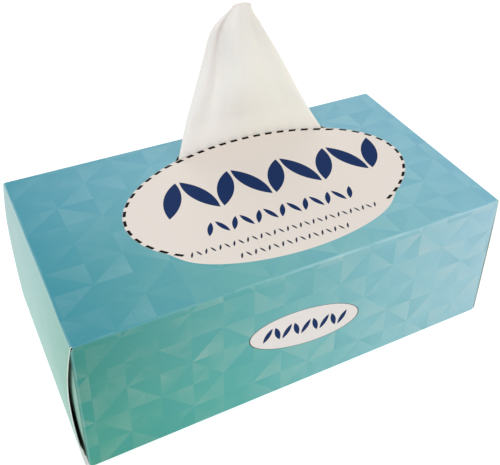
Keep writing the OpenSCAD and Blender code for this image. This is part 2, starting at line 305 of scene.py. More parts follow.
class Graph:
    """A shader's node tree, with short ways to place nodes in it.

    A value given to a method may be the output that gives it.
    """

    def __init__(self, tree: Tree) -> None:
        """Keeps the tree that nodes go into."""
        self.tree = tree

    def node(self, kind: str, **settings: object) -> Node:
        """New node of a kind, with some of its own settings.

        Args:
            kind: Type name of the node.
            settings: Its settings by name.

        Returns:
            The node.
        """
        made = self.tree.nodes.new(kind)
        for name, value in settings.items():
            setattr(made, name, value)
        return made

    def put(self, socket: Socket, value: object) -> None:
        """Links a socket to another, or sets its value.

        Args:
            socket: Input that is filled.
            value: Output to link, value to set, or None to leave the input as it is.
        """
        if isinstance(value, Socket):
            self.tree.links.new(value, socket)
        elif value is not None:
            socket.default_value = value

    def math(self, operation: str, *values: object) -> Socket:
        """Result of a Math node.

        Args:
            operation: What the node does.
            values: Its values, in order.

        Returns:
            The node's output.
        """
        made = self.node("ShaderNodeMath", operation=operation)
        for socket, value in zip(made.inputs, values):
            self.put(socket, value)
        return made.outputs[0]

    def plus(self, first: object, second: object) -> Socket:
        """Sum of two values."""
        return self.math("ADD", first, second)

    def minus(self, first: object, second: object) -> Socket:
        """First value less the second."""
        return self.math("SUBTRACT", first, second)

    def times(self, first: object, second: object) -> Socket:
        """Product of two values."""
        return self.math("MULTIPLY", first, second)

    def over(self, first: object, second: object) -> Socket:
        """First value divided by the second."""
        return self.math("DIVIDE", first, second)

    def step(self, value: object, start: float, end: float) -> Socket:
        """Smooth share from 0 where a value is start to 1 where it is end.

        Args:
            value: The value.
            start: Value at which the share is 0.
            end: Value at which the share is 1, over the start or under it.

        Returns:
            The share.
        """
        made = self.node("ShaderNodeMapRange", interpolation_type="SMOOTHSTEP")
        self.put(made.inputs["Value"], value)
        if start > end:
            made.inputs["From Min"].default_value = end
            made.inputs["From Max"].default_value = start
            made.inputs["To Min"].default_value = 1.0
            made.inputs["To Max"].default_value = 0.0
        else:
            made.inputs["From Min"].default_value = start
            made.inputs["From Max"].default_value = end
        return made.outputs["Result"]

    def blend(self, share: object, first: object, second: object) -> Socket:
        """Colour between two colours.

        Args:
            share: Share of the second colour.
            first: Colour at a share of 0.
            second: Colour at a share of 1.

        Returns:
            The colour.
        """
        made = self.node("ShaderNodeMix", data_type="RGBA")
        colours = [s for s in made.inputs if s.type == "RGBA"]
        self.put(made.inputs[0], share)
        self.put(colours[0], first)
        self.put(colours[1], second)
        return next(s for s in made.outputs if s.type == "RGBA")

    def vector(self, x: object, y: object, z: object = 0.0) -> Socket:
        """Vector of three values.

        Args:
            x: First value.
            y: Second value.
            z: Third value.

        Returns:
            The vector.
        """
        made = self.node("ShaderNodeCombineXYZ")
        for socket, value in zip(made.inputs, (x, y, z)):
            self.put(socket, value)
        return made.outputs[0]

    def noise(self, place: object, scale: float, detail: float = 2.0) -> Socket:
        """Value of a noise texture.

        Args:
            place: Place in millimetres.
            scale: Number of its largest features in a millimetre.
            detail: Number of finer layers.

        Returns:
            Value from 0 to 1.
        """
        made = self.node("ShaderNodeTexNoise")
        self.put(made.inputs["Vector"], place)
        made.inputs["Scale"].default_value = scale
        made.inputs["Detail"].default_value = detail
        return made.outputs["Fac"]

    def use(self, group: Tree, **values: object) -> Node:
        """Places a node group.

        Args:
            group: The group.
            values: Values for its inputs, by name.

        Returns:
            The node.
        """
        made = self.node("ShaderNodeGroup", node_tree=group)
        for name, value in values.items():
            self.put(made.inputs[name], value)
        return made


def new_group(
    name: str, inputs: dict[str, float | None], outputs: list[str]
) -> tuple[Graph, Node, Node]:
    """Empty shader node group.

    Args:
        name: Name of the group.
        inputs: Names of its inputs with their usual values, or None for a vector.
        outputs: Names of its outputs, all of them values, apart from Place, a vector.

    Returns:
        Its graph, its input node and its output node.
    """
    group = bpy.data.node_groups.new(name, "ShaderNodeTree")
    for label, value in inputs.items():
        kind = "NodeSocketVector" if value is None else "NodeSocketFloat"
        socket = group.interface.new_socket(name=label, in_out="INPUT", socket_type=kind)
        if value is not None:
            socket.default_value = value
    for label in outputs:
        kind = "NodeSocketVector" if label == "Place" else "NodeSocketFloat"
        group.interface.new_socket(name=label, in_out="OUTPUT", socket_type=kind)
    graph = Graph(group)
    return graph, graph.node("NodeGroupInput"), graph.node("NodeGroupOutput")


@dataclass
class Oval:
    """Cut line of the flap: a slightly sheared ellipse, closed at the front by the crease.

    Angles are in degrees, from the right end against the clock.

    Attributes:
        x: Middle of the oval along X.
        y: Middle of the oval along Y.
        half_length: Half its length.
        half_width: Half its width.
        lean: How much it rises in Y over a unit of X.
        hinge_y: Place of the crease along Y.
        field_rim: How far the pale field ends outside the cut line.
        field_swell: How much further it ends in front.
        field_soft: Softness of the field's edge, in millimetres.
        swell_middle: Angle of the middle of the swell.
        swell_half: Angle from there to either end of the swell.
        print_from: Angle from which the print's angles run on.
        dash_pitch: Length of a dash and a gap.
        dash_share: Share of the pitch that a dash takes.
        dash_soft: Softness of a dash's ends, as a share of the pitch.
        dash_half: Half the thickness of a dash.
        dash_edge: Softness of its long edges, in millimetres.
        dash_inward: How far the dashes lie inside the cut line.
        dash_inward_behind: How far they lie inside it behind.
        dash_thicker: Share that they are thicker by behind.
        dash_behind: Angles between which they lie as behind.
        behind_soft: Angle over which that begins and ends, in radians.
        dash_start: Angle of the first dash.
        dash_end: Angle of the last dash.
    """

    MEAN_DIVISOR = 1.97
    WOBBLE_DIVISOR = 3.77

    x: float = 12 * MM
    y: float = 0.6 * MM
    half_length: float = 81.7 * MM
    half_width: float = 49.3 * MM
    lean: float = 0.029
    hinge_y: float = -38 * MM
    field_rim: float = 0.3 * MM
    field_swell: float = 4.1 * MM
    field_soft: float = 0.08
    swell_middle: float = -97.0
    swell_half: float = 52.0
    print_from: float = -95.0
    dash_pitch: float = 7.7 * MM
    dash_share: float = 0.57
    dash_soft: float = 0.012
    dash_half: float = 0.8 * MM
    dash_edge: float = 0.06
    dash_inward: float = 0.6 * MM
    dash_inward_behind: float = 1.4 * MM
    dash_thicker: float = 0.3
    dash_behind: tuple[float, float] = (44.0, 119.0)
    behind_soft: float = 0.06
    dash_start: float = -52.6
    dash_end: float = 218.6

    def __post_init__(self) -> None:
        """Works out the angles of the oval at the two ends of the crease."""
        shear = math.atan2(self.lean * self.half_length, self.half_width)
        sine = (self.hinge_y - self.y) / self.half_width * math.cos(shear)
        self.start = math.degrees(math.asin(sine) - shear)
        self.end = math.degrees(math.pi - math.asin(sine) - shear)

    def point(self, angle: Array, grow: Array | float = 0.0) -> Array:
        """Points of the oval in plan: its centre plus cosine and sine of the angle times its
        half sizes, sheared by the lean.

        Args:
            angle: Angles in degrees.
            grow: How far the points are moved out.

        Returns:
            One row of two for each angle.
        """
        turn = np.radians(angle)
        x = self.x + (self.half_length + grow) * np.cos(turn)
        shear = self.lean * self.half_length * np.cos(turn)
        return np.stack([x, self.y + (self.half_width + grow) * np.sin(turn) + shear], -1)

    def back_edge(self, x: Array) -> Array:
        """Back edge of the oval over X: the upper half of the sheared ellipse.

        Args:
            x: Places along X.

        Returns:
            Place along Y for each of them.
        """
        share = (x - self.x) / self.half_length
        height = self.half_width * np.sqrt(np.maximum(0, 1 - share**2))
        return self.y + self.lean * (x - self.x) + height

    def field_group(self) -> Tree:
        """Node group of the oval's print: its pale field and the dashes along the cut line.

        The distance from the cut line is its implicit function over that function's slope.
        The pale field ends a rim outside the line, and swells further out in front.

        Returns:
            The group, with the outputs Field and Dashes.
        """
        g, inside, out = new_group("oval_print", {"X": 0, "Y": 0}, ["Field", "Dashes"])
        a, b = self.half_length * PER_MM, self.half_width * PER_MM
        across = g.minus(inside.outputs["X"], self.x * PER_MM)
        level = g.minus(inside.outputs["Y"], self.y * PER_MM)
        level = g.minus(level, g.times(across, self.lean))
        u, v = g.over(across, a), g.over(level, b)
        reach = self._length(g, u, v)
        slope = self._length(g, g.over(u, a), g.over(v, b))
        away = g.times(g.minus(reach, 1), g.over(reach, slope))
        turn = g.math("ARCTAN2", v, u)
        past = g.math("LESS_THAN", turn, math.radians(self.print_from))
        turn = g.plus(turn, g.times(past, 2 * math.pi))
        swell = g.times(self._swell(g, turn), self.field_swell * PER_MM)
        rim = g.plus(swell, self.field_rim * PER_MM)
        outside = g.minus(away, rim)
        g.put(out.inputs["Field"], g.step(outside, self.field_soft, -self.field_soft))
        g.put(out.inputs["Dashes"], self._dashes(g, turn, away))
        return g.tree

    def _dashes(self, g: Graph, turn: Socket, away: Socket) -> Socket:
        """Mask of the dashes, which lie inside the cut line, and deeper and thicker behind.

        The length along the line is a mean radius times the angle less a share of the sine
        of twice the angle, which is close to the true length of the ellipse.

        Args:
            g: Graph of the oval's group.
            turn: Angle round the oval in radians.
            away: Distance outside the cut line in millimetres.

        Returns:
            The mask.
        """
        a, b = self.half_length * PER_MM, self.half_width * PER_MM
        sine = g.math("SINE", g.times(turn, 2))
        wobble = g.times(sine, (a - b) / self.WOBBLE_DIVISOR)
        run = g.minus(g.times(turn, (a + b) / self.MEAN_DIVISOR), wobble)
        phase = g.math("FRACT", g.over(run, self.dash_pitch * PER_MM))
        middle = g.math("ABSOLUTE", g.minus(phase, 0.5))
        half = self.dash_share / 2
        dash = g.step(middle, half + self.dash_soft, half - self.dash_soft)
        thick = self.dash_half * PER_MM
        first, last = (math.radians(angle) for angle in self.dash_behind)
        begun = g.step(turn, first - self.behind_soft, first)
        behind = g.times(begun, g.step(turn, last + self.behind_soft, last))
        inward = g.times(behind, (self.dash_inward_behind - self.dash_inward) * PER_MM)
        shifted = g.plus(away, g.plus(inward, self.dash_inward * PER_MM))
        wider = g.plus(g.times(behind, self.dash_thicker), 1)
        depth = g.math("ABSOLUTE", g.over(shifted, wider))
        line = g.step(depth, thick + self.dash_edge, thick - self.dash_edge)
        begun = g.math("GREATER_THAN", turn, math.radians(self.dash_start))
        ended = g.math("LESS_THAN", turn, math.radians(self.dash_end))
        return g.times(g.times(dash, line), g.times(begun, ended))

    def _swell(self, g: Graph, turn: Socket) -> Socket:
        """Share of the field's swell: the smooth step of one less the fourth power of the
        angle from the swell's middle, over its half angle.

        Args:
            g: Graph of the oval's group.
            turn: Angle round the oval in radians.

        Returns:
            The share.
        """
        middle, half = math.radians(self.swell_middle), math.radians(self.swell_half)
        near = g.math("ABSOLUTE", g.minus(turn, middle))
        far = g.math("ABSOLUTE", g.minus(turn, middle + 2 * math.pi))
        share = g.over(g.math("MINIMUM", near, far), half)
        return g.step(g.minus(1, g.math("POWER", share, 4)), 0.0, 1.0)

    @staticmethod
    def _length(g: Graph, u: Socket, v: Socket) -> Socket:
        """Length of a vector of two values."""
        square = g.plus(g.times(u, u), g.times(v, v))
        return g.math("SQRT", square)


class PrintGroups:
    """Node groups that the printed panels share.

    Each scale of the fibres is a number of features in a millimetre, followed by the
    number of finer layers.
    """

    SIDE_DRAW = 0.37
    DRAWN_WEIGHT = 0.8
    TURNED_WEIGHT = 0.55
    SLOPE_WEIGHT = 1.5
    LEAF_SOFT = 0.12
    FIBRE_STRETCH = (0.35, 1.0, 1.0)
    FIBRE_SCALE = (3.2, 4.0)
    CLOUD_SCALE = (0.045, 3.0)
    PEEL_SCALE = (0.9, 2.0)
    FIBRE_HEIGHT = 0.35

    def __init__(self, oval: Oval) -> None:
        """Builds each group once."""
        self.place = self._place()
        self.mosaic = self._mosaic()
        self.leaves = self._leaves()
        self.board = self._board()
        self.oval = oval.field_group()

    @staticmethod
    def _place() -> Tree:
        """Object coordinates in millimetres.

        Returns:
            The group, with the outputs Place, a vector, and X, Y and Z.
        """
        g, _, out = new_group("place_in_mm", {}, ["Place", "X", "Y", "Z"])
        where = g.node("ShaderNodeTexCoord").outputs["Object"]
        scaled = g.node("ShaderNodeVectorMath", operation="SCALE")
        g.put(scaled.inputs[0], where)
        scaled.inputs["Scale"].default_value = PER_MM
        split = g.node("ShaderNodeSeparateXYZ")
        g.put(split.inputs[0], scaled.outputs[0])
        g.put(out.inputs["Place"], scaled.outputs[0])
        for label in "XYZ":
            g.put(out.inputs[label], split.outputs[label])
        return g.tree

    def _mosaic(self) -> Tree:
        """Tones of squares that are cut into two triangles along turning diagonals.

        A place is measured from a corner where the diagonals meet, and divided by the width
        and the height of a square. Each square's diagonal turns with the sum of its row and
        column, and each triangle draws a tone and a slope of its own from white noise. The
        triangles on one side of the diagonals are a little lighter in every other column and
        those on the other side in the rest, so that light and dark take turns round a corner.

        Returns:
            The group, with the output Tone, which is 0 in the middle of its range.
        """
        inputs = {"Across": 0, "Up": 0, "Wide": 15.6, "Tall": 15.6, "Draw": 0}
        g, inside, out = new_group("triangle_mosaic", inputs, ["Tone"])
        u = g.over(inside.outputs["Across"], inside.outputs["Wide"])
        v = g.over(inside.outputs["Up"], inside.outputs["Tall"])
        column, row = g.math("FLOOR", u), g.math("FLOOR", v)
        inner_u, inner_v = g.math("FRACT", u), g.math("FRACT", v)
        odd = g.math("FRACT", g.over(g.plus(column, row), 2))
        odd = g.math("GREATER_THAN", odd, 0.25)
        flipped = g.math("ABSOLUTE", g.minus(inner_u, odd))
        side = g.math("GREATER_THAN", flipped, inner_v)
        third = g.plus(g.times(side, self.SIDE_DRAW), inside.outputs["Draw"])
        drawn = g.node("ShaderNodeTexWhiteNoise", noise_dimensions="3D")
        g.put(drawn.inputs["Vector"], g.vector(column, row, third))
        draws = g.node("ShaderNodeSeparateXYZ")
        g.put(draws.inputs[0], drawn.outputs["Color"])
        turned = g.math("GREATER_THAN", g.math("FRACT", g.over(column, 2)), 0.25)
        lit = g.minus(g.math("ABSOLUTE", g.minus(side, turned)), 0.5)
        drawn_tone = g.minus(draws.outputs["X"], 0.5)
        tone = g.times(drawn_tone, self.DRAWN_WEIGHT)
        tone = g.plus(tone, g.times(lit, self.TURNED_WEIGHT))
        for label, inner in (("Y", inner_u), ("Z", inner_v)):
            slope = g.minus(draws.outputs[label], 0.5)
            lean = g.times(slope, g.minus(inner, 0.5))
            tone = g.plus(tone, g.times(lean, self.SLOPE_WEIGHT))
        g.put(out.inputs["Tone"], tone)
        return g.tree

    def _leaves(self) -> Tree:
        """Row of slim leaves that lean left and right by turns.

        Each leaf is where two circles overlap: the distance from a circle's centre, moved
        off by the radius less half the leaf's width, is under the radius.

        Returns:
            The group, with the output Mask.
        """
        inputs = {"X": 0, "Y": 0, "Pitch": 13, "Reach": 60, "Length": 26, "Width": 8, "Lean": 0.4}
        g, inside, out = new_group("leaf_row", inputs, ["Mask"])
        read = inside.outputs
        number = g.math("ROUND", g.over(read["X"], read["Pitch"]))
        across = g.minus(read["X"], g.times(number, read["Pitch"]))
        odd = g.times(g.math("FRACT", g.times(number, 0.5)), 4)
        angle = g.times(g.minus(odd, 1), read["Lean"])
        cosine, sine = g.math("COSINE", angle), g.math("SINE", angle)
        left = g.plus(g.times(across, cosine), g.times(read["Y"], sine))
        up = g.minus(g.times(read["Y"], cosine), g.times(across, sine))
        half, wide = g.over(read["Length"], 2), g.over(read["Width"], 2)
        squares = g.plus(g.times(half, half), g.times(wide, wide))
        radius = g.over(squares, read["Width"])
        moved = g.plus(g.math("ABSOLUTE", left), g.minus(radius, wide))
        away = g.plus(g.times(moved, moved), g.times(up, up))
        depth = g.minus(radius, g.math("SQRT", away))
        middle = g.math("ABSOLUTE", g.times(number, read["Pitch"]))
        within = g.math("LESS_THAN", middle, read["Reach"])
        g.put(out.inputs["Mask"], g.times(g.step(depth, 0.0, self.LEAF_SOFT), within))
        return g.tree

    def _board(self) -> Tree:
        """Fibres of the card: a fine speckle, slow clouds and the height of the surface.

        Returns:
            The group, with the outputs Speckle, Clouds and Height.
        """
        g, inside, out = new_group("card_fibres", {"Place": None}, ["Speckle", "Clouds", "Height"])
        stretched = g.node("ShaderNodeVectorMath", operation="MULTIPLY")
        g.put(stretched.inputs[0], inside.outputs["Place"])
        stretched.inputs[1].default_value = self.FIBRE_STRETCH
        fine = g.noise(stretched.outputs[0], *self.FIBRE_SCALE)
        clouds = g.noise(inside.outputs["Place"], *self.CLOUD_SCALE)
        peel = g.times(g.noise(inside.outputs["Place"], *self.PEEL_SCALE), 1 - self.FIBRE_HEIGHT)
        height = g.plus(g.times(fine, self.FIBRE_HEIGHT), peel)
        g.put(out.inputs["Speckle"], fine)
        g.put(out.inputs["Clouds"], clouds)
        g.put(out.inputs["Height"], height)
        return g.tree


class Along(Enum):
    """Directions that a panel's print is laid out in, as an axis and its sign."""

    RIGHT = ("X", 1)
    LEFT = ("X", -1)
    BACK = ("Y", 1)
    UP = ("Z", 1)


class Over(Enum):
    """What is printed over the mosaic of a panel."""

    NOTHING = "nothing"
    OVAL = "oval field"
    LABEL = "oval label"


@dataclass(frozen=True)
class Surface:
    """Gloss and fine relief of a material.

    Attributes:
        roughness: Roughness where it is smoothest.
        specular: Strength of its reflection.
        bump: Strength of its relief.
        bump_depth: Depth of its relief.
        spread: How much rougher its clouds or streaks make it.
    """

    roughness: float = 0.42
    specular: float = 0.06
    bump: float = 0.12
    bump_depth: float = 0.05 * MM
    spread: float = 0.12


@dataclass(frozen=True)
class PanelPrint:
    """Print of one panel of the carton.

    Attributes:
        name: Name of the material.
        draw: Number that picks the tones of its triangles.
        along: Direction that the colours change in.
        up: Direction from the panel's low side to its high side.
        low: Colours along the low side, with their places in millimetres.
        high: Colours along the high side.
        rise: Places of the low and the high side in millimetres.
        cell: Width and height of a square of the mosaic in millimetres.
        corner: Place where diagonals of the mosaic meet in millimetres.
        strength: Strength of the triangles at the first and at the last colour.
        over: What is printed over the mosaic.
        pale: Colour that light triangles lean to.
        deep: Colour that dark triangles lean to.
        surface: Its gloss.
    """

    name: str
    draw: int
    along: Along
    up: Along
    low: tuple[tuple[float, str], ...]
    high: tuple[tuple[float, str], ...]
    rise: tuple[float, float]
    cell: tuple[float, float] = (15.75, 15.6)
    corner: tuple[float, float] = (-93.45, 14.0)
    strength: tuple[float, float] = (0.15, 0.2)
    over: Over = Over.NOTHING
    pale: str = "#C9CDBE"
    deep: str = "#1F8795"
    surface: Surface = Surface()


@dataclass(frozen=True)
class BoardFinish:
    """Unprinted card: its name, the pale and the dull colour of its fibres, and its gloss."""

    name: str
    pale: str
    dull: str
    surface: Surface


@dataclass(frozen=True)
class Ink:
    """Colours printed on the pale fields, and the pale colour of the folds, which is partly rubbed ink
    and partly a painted highlight.
    """

    cream: str = "#DCD4CC"
    label: str = "#D8D2CE"
    navy: str = "#0F2A58"
    fine: str = "#2C3546"
    dash: str = "#07080A"
    outline: str = "#4A3A36"
    # pale colour of the folds: rubbed ink and a painted highlight along them
    worn: str = "#C4E2E6"


@dataclass(frozen=True)
class LeafRow:
    """A row of leaves on a pale field, sizes in millimetres and the lean in degrees.

    Attributes:
        x: Middle of the row along the panel.
        y: Middle of the row up the panel.
        reach: Leaves stand only nearer than this to the middle.
        pitch: Distance between two leaves.
        length: Length of a leaf.
        width: Width of a leaf.
        lean: How far the leaves lean to either side.
        fine: Whether they are printed in the ink of the fine lines.
    """

    x: float
    y: float
    reach: float
    pitch: float
    length: float
    width: float
    lean: float
    fine: bool = False


class Printer:
    """Makes the materials of the card.

    Places and sizes are in millimetres and tilts in degrees. A speckle is the share of
    the fibres in the brightness, and the brightness without them. A ring is the share of
    the label's size at which it ends, and the one at which it is whole.
    """

    TOP_ROWS = (
        LeafRow(18.0, 8.5, 60.0, 14.8, 31.0, 9.4, 24.0),
        LeafRow(8.0, -20.5, 46.0, 6.6, 11.0, 3.0, 24.0),
        LeafRow(4.0, -35.0, 52.0, 3.6, 4.6, 1.2, 24.0, fine=True),
        LeafRow(4.0, -44.5, 32.0, 3.6, 4.6, 1.2, 24.0, fine=True),
    )
    TOP_TILT = -2.7
    SMALL_SHARE = 0.2
    LABEL_X = -1.5
    LABEL_Z = 40.4
    LABEL_HALF = (32.0, 12.0)
    LABEL_TILT = -8.0
    LABEL_ROWS = (LeafRow(0.0, 0.0, 25.0, 5.4, 9.6, 3.0, 24.0),)
    OUTLINE_RING = (1.0, 0.985)
    LABEL_RING = (0.982, 0.967)
    DRAW_STEP = 5.3
    WEAR_AND_HIGHLIGHT_CLOUDS = (0.3, 0.62)
    WEAR_AND_HIGHLIGHT_PATCHY = 0.6
    WEAR_AND_HIGHLIGHT_EVEN = 0.3
    PANEL_SPECKLE = (0.06, 0.965)
    FLAP_SPECKLE = (0.05, 0.97)
    FLAP_SURFACE = Surface(roughness=0.44)

    def __init__(self, groups: PrintGroups, ink: Ink) -> None:
        """Keeps the shared groups and the inks."""
        self.groups = groups
        self.ink = ink

    def start(self, name: str) -> tuple[Graph, Node, Node]:
        """New material.

        Args:
            name: Name of the material.

        Returns:
            Its graph, its shader and its place node.
        """
        material = bpy.data.materials.new(name)
        material.use_nodes = True
        g = Graph(material.node_tree)
        shader = next(n for n in material.node_tree.nodes if n.type == "BSDF_PRINCIPLED")
        return g, shader, g.use(self.groups.place)

    @staticmethod
    def finish(g: Graph, shader: Node, clouds: object, height: object, surface: Surface) -> None:
        """Sets the shader's gloss and relief.

        Args:
            g: Graph of the material.
            shader: Its shader.
            clouds: Slow noise that makes it rougher.
            height: Height of its relief.
            surface: Its gloss.
        """
        rough = g.times(clouds, surface.spread)
        g.put(shader.inputs["Roughness"], g.plus(rough, surface.roughness))
        bump = g.node("ShaderNodeBump")
        bump.inputs["Strength"].default_value = surface.bump
        bump.inputs["Distance"].default_value = surface.bump_depth
        g.put(bump.inputs["Height"], height)
        g.put(shader.inputs["Normal"], bump.outputs["Normal"])
        shader.inputs["Specular IOR Level"].default_value = surface.specular

    @staticmethod
    def ramp(g: Graph, value: object, stops: tuple[tuple[float, str], ...]) -> Socket:
        """Colour that changes evenly between named places.

        Args:
            g: Graph of the material.
            value: Place.
            stops: Places with their colours, in order.

        Returns:
            The colour.
        """
        first, last = stops[0][0], stops[-1][0]
        share = g.node("ShaderNodeMapRange")
        g.put(share.inputs["Value"], value)
        share.inputs["From Min"].default_value = first
        share.inputs["From Max"].default_value = last
        made = g.node("ShaderNodeValToRGB")
        ramp = made.color_ramp
        while len(ramp.elements) < len(stops):
            ramp.elements.new(0.5)
        for element, (place, colour) in zip(ramp.elements, stops):
            element.position = (place - first) / (last - first)
            element.color = linear(colour)
        g.put(made.inputs[0], share.outputs["Result"])
        return made.outputs["Color"]

    def mosaic(self, g: Graph, place: Node, look: PanelPrint) -> Socket:
        """Colour of a panel before what is printed over it.

        Large squares and squares of half their size, drawn apart, share out the tones.

        Args:
            g: Graph of the material.
            place: Its place node.
            look: Its print.

        Returns:
            The colour.
        """

        def axis(which: Along) -> Socket:
            """Coordinate in one direction."""
            label, sign = which.value
            return g.times(place.outputs[label], sign)

        along, up = axis(look.along), axis(look.up)
        share = g.step(up, look.rise[0], look.rise[1])
        colour = g.blend(share, self.ramp(g, along, look.low), self.ramp(g, along, look.high))
        tones = [
            g.use(
                self.groups.mosaic,
                Across=g.minus(along, look.corner[0]),
                Up=g.minus(up, look.corner[1]),
                Wide=look.cell[0] * size,
                Tall=look.cell[1] * size,
                Draw=look.draw + self.DRAW_STEP * size,
            ).outputs["Tone"]
            for size in (1, 0.5)
        ]
        tone = g.plus(tones[0], g.times(tones[1], self.SMALL_SHARE))
        strength = g.node("ShaderNodeMapRange")
        g.put(strength.inputs["Value"], along)
        strength.inputs["From Min"].default_value = look.low[0][0]
        strength.inputs["From Max"].default_value = look.low[-1][0]
        strength.inputs["To Min"].default_value = look.strength[0]
        strength.inputs["To Max"].default_value = look.strength[1]
        tone = g.times(tone, strength.outputs["Result"])
        light = g.math("MAXIMUM", tone, 0.0)
        dark = g.math("MAXIMUM", g.times(tone, -1.0), 0.0)
        colour = g.blend(light, colour, linear(look.pale))
        return g.blend(dark, colour, linear(look.deep))

    def rows(
        self, g: Graph, x: object, y: object, rows: tuple[LeafRow, ...], fine: bool
    ) -> Socket:
        """Mask of all rows of leaves that are printed in one ink.

        Args:
            g: Graph of the material.
            x: Place along the rows.
            y: Place across the rows.
            rows: All rows of the panel.
            fine: Whether the fine rows are wanted, or the others.

        Returns:
            The mask.
        """
        total = None
        for row in (r for r in rows if r.fine == fine):
            mask = g.use(
                self.groups.leaves,
                X=g.minus(x, row.x),
                Y=g.minus(y, row.y),
                Pitch=row.pitch,
                Reach=row.reach,
                Length=row.length,
                Width=row.width,
                Lean=math.radians(row.lean),
            ).outputs["Mask"]
            total = mask if total is None else g.math("MAXIMUM", total, mask)
        return total

    @staticmethod
    def tilted(g: Graph, x: object, y: object, degrees: float) -> tuple[object, object]:
        """Place turned about the origin.

        Args:
            g: Graph of the material.
            x: First value of the place.
            y: Second value of the place.
            degrees: Angle of the new axes from the old ones.

        Returns:
            Both values along the new axes.
        """
        cosine, sine = math.cos(math.radians(degrees)), math.sin(math.radians(degrees))
        across = g.plus(g.times(x, cosine), g.times(y, sine))
        level = g.minus(g.times(y, cosine), g.times(x, sine))
        return across, level

    def oval_colour(self, g: Graph, place: Node, under: object) -> Socket:
        """Colour of the top with the oval's field, its rows of leaves and its dashes.

        Args:
            g: Graph of the material.
            place: Its place node.
            under: Colour that shows outside the field.

        Returns:
            The colour.
        """
        x, y = place.outputs["X"], place.outputs["Y"]
        marks = g.use(self.groups.oval, X=x, Y=y)
        across, level = self.tilted(g, x, y, self.TOP_TILT)
        bold = self.rows(g, across, level, self.TOP_ROWS, False)
        inked = g.blend(bold, linear(self.ink.cream), linear(self.ink.navy))
        fine = self.rows(g, across, level, self.TOP_ROWS, True)
        inked = g.blend(fine, inked, linear(self.ink.fine))
        colour = g.blend(marks.outputs["Field"], under, inked)
        return g.blend(marks.outputs["Dashes"], colour, linear(self.ink.dash))

    def label_colour(self, g: Graph, place: Node, under: object) -> Socket:
        """Colour of the front with its small oval label and the row of leaves in it.

        Args:
            g: Graph of the material.
            place: Its place node.
            under: Colour that shows outside the label.

        Returns:
            The colour.
        """
        x = g.minus(place.outputs["X"], self.LABEL_X)
        z = g.minus(place.outputs["Z"], self.LABEL_Z)
        across, level = self.tilted(g, x, z, self.LABEL_TILT)
        u = g.over(across, self.LABEL_HALF[0])
        v = g.over(level, self.LABEL_HALF[1])
        reach = g.math("SQRT", g.plus(g.times(u, u), g.times(v, v)))
        bold = self.rows(g, across, level, self.LABEL_ROWS, False)
        inked = g.blend(bold, linear(self.ink.label), linear(self.ink.navy))
        ringed = g.blend(g.step(reach, *self.OUTLINE_RING), under, linear(self.ink.outline))
        return g.blend(g.step(reach, *self.LABEL_RING), ringed, inked)

    def panel(self, look: PanelPrint) -> Material:
        """Material of one printed panel of the carton.

        Args:
            look: Its print.

        Returns:
            The material.
        """
        g, shader, place = self.start(look.name)
        fibres = g.use(self.groups.board, Place=place.outputs["Place"])
        colour = self.mosaic(g, place, look)
        if look.over is Over.OVAL:
            colour = self.oval_colour(g, place, colour)
        elif look.over is Over.LABEL:
            colour = self.label_colour(g, place, colour)
        # pale fold lines: partly rubbed ink, partly a painted highlight along the folds
        worn = g.node("ShaderNodeAttribute", attribute_name="worn").outputs["Fac"]
        patchy = g.times(g.step(fibres.outputs["Clouds"], *self.WEAR_AND_HIGHLIGHT_CLOUDS), self.WEAR_AND_HIGHLIGHT_PATCHY)
        worn = g.times(worn, g.plus(patchy, self.WEAR_AND_HIGHLIGHT_EVEN))
        colour = g.blend(worn, colour, linear(self.ink.worn))
        g.put(shader.inputs["Base Color"], self.speckled(g, colour, fibres, self.PANEL_SPECKLE))
        self.finish(g, shader, fibres.outputs["Clouds"], fibres.outputs["Height"], look.surface)
        return bpy.data.materials[look.name]

    def speckled(self, g: Graph, colour: object, fibres: Node, speckle: tuple[float, float]) -> Socket:
        """Colour with the fibres of the card in its brightness.

        Args:
            g: Graph of the material.
            colour: The colour.
            fibres: Node of the card's fibres.
            speckle: Share of the fibres, and brightness without them.

        Returns:
            The colour.
        """
        share, least = speckle
        shade = g.plus(g.times(fibres.outputs["Speckle"], share), least)
        return self.shaded(g, colour, shade)

    @staticmethod
    def shaded(g: Graph, colour: object, shade: object) -> Socket:
        """Colour times a grey value.

        Args:
            g: Graph of the material.
            colour: The colour.
            shade: The grey value.

        Returns:
            The colour.
        """
        made = g.node("ShaderNodeMix", data_type="RGBA", blend_type="MULTIPLY")
        made.inputs[0].default_value = 1.0
        colours = [s for s in made.inputs if s.type == "RGBA"]
        g.put(colours[0], colour)
        g.put(colours[1], g.vector(shade, shade, shade))
        return next(s for s in made.outputs if s.type == "RGBA")

    def flap(self) -> Material:
        """Material of the flap's printed face.

        Returns:
            The material.
        """
        g, shader, place = self.start("printed_flap")
        fibres = g.use(self.groups.board, Place=place.outputs["Place"])
        colour = self.oval_colour(g, place, linear(self.ink.cream))
        g.put(shader.inputs["Base Color"], self.speckled(g, colour, fibres, self.FLAP_SPECKLE))
        self.finish(g, shader, fibres.outputs["Clouds"], fibres.outputs["Height"], self.FLAP_SURFACE)
        return bpy.data.materials["printed_flap"]

    def board(self, look: BoardFinish) -> Material:
        """Material of unprinted card: fibres between two greys.

        Args:
            look: Its name, colours and gloss.

        Returns:
            The material.
        """
        g, shader, place = self.start(look.name)
        fibres = g.use(self.groups.board, Place=place.outputs["Place"])
        colour = g.blend(fibres.outputs["Speckle"], linear(look.dull), linear(look.pale))
        g.put(shader.inputs["Base Color"], colour)
        self.finish(g, shader, fibres.outputs["Clouds"], fibres.outputs["Height"], look.surface)
        return bpy.data.materials[look.name]


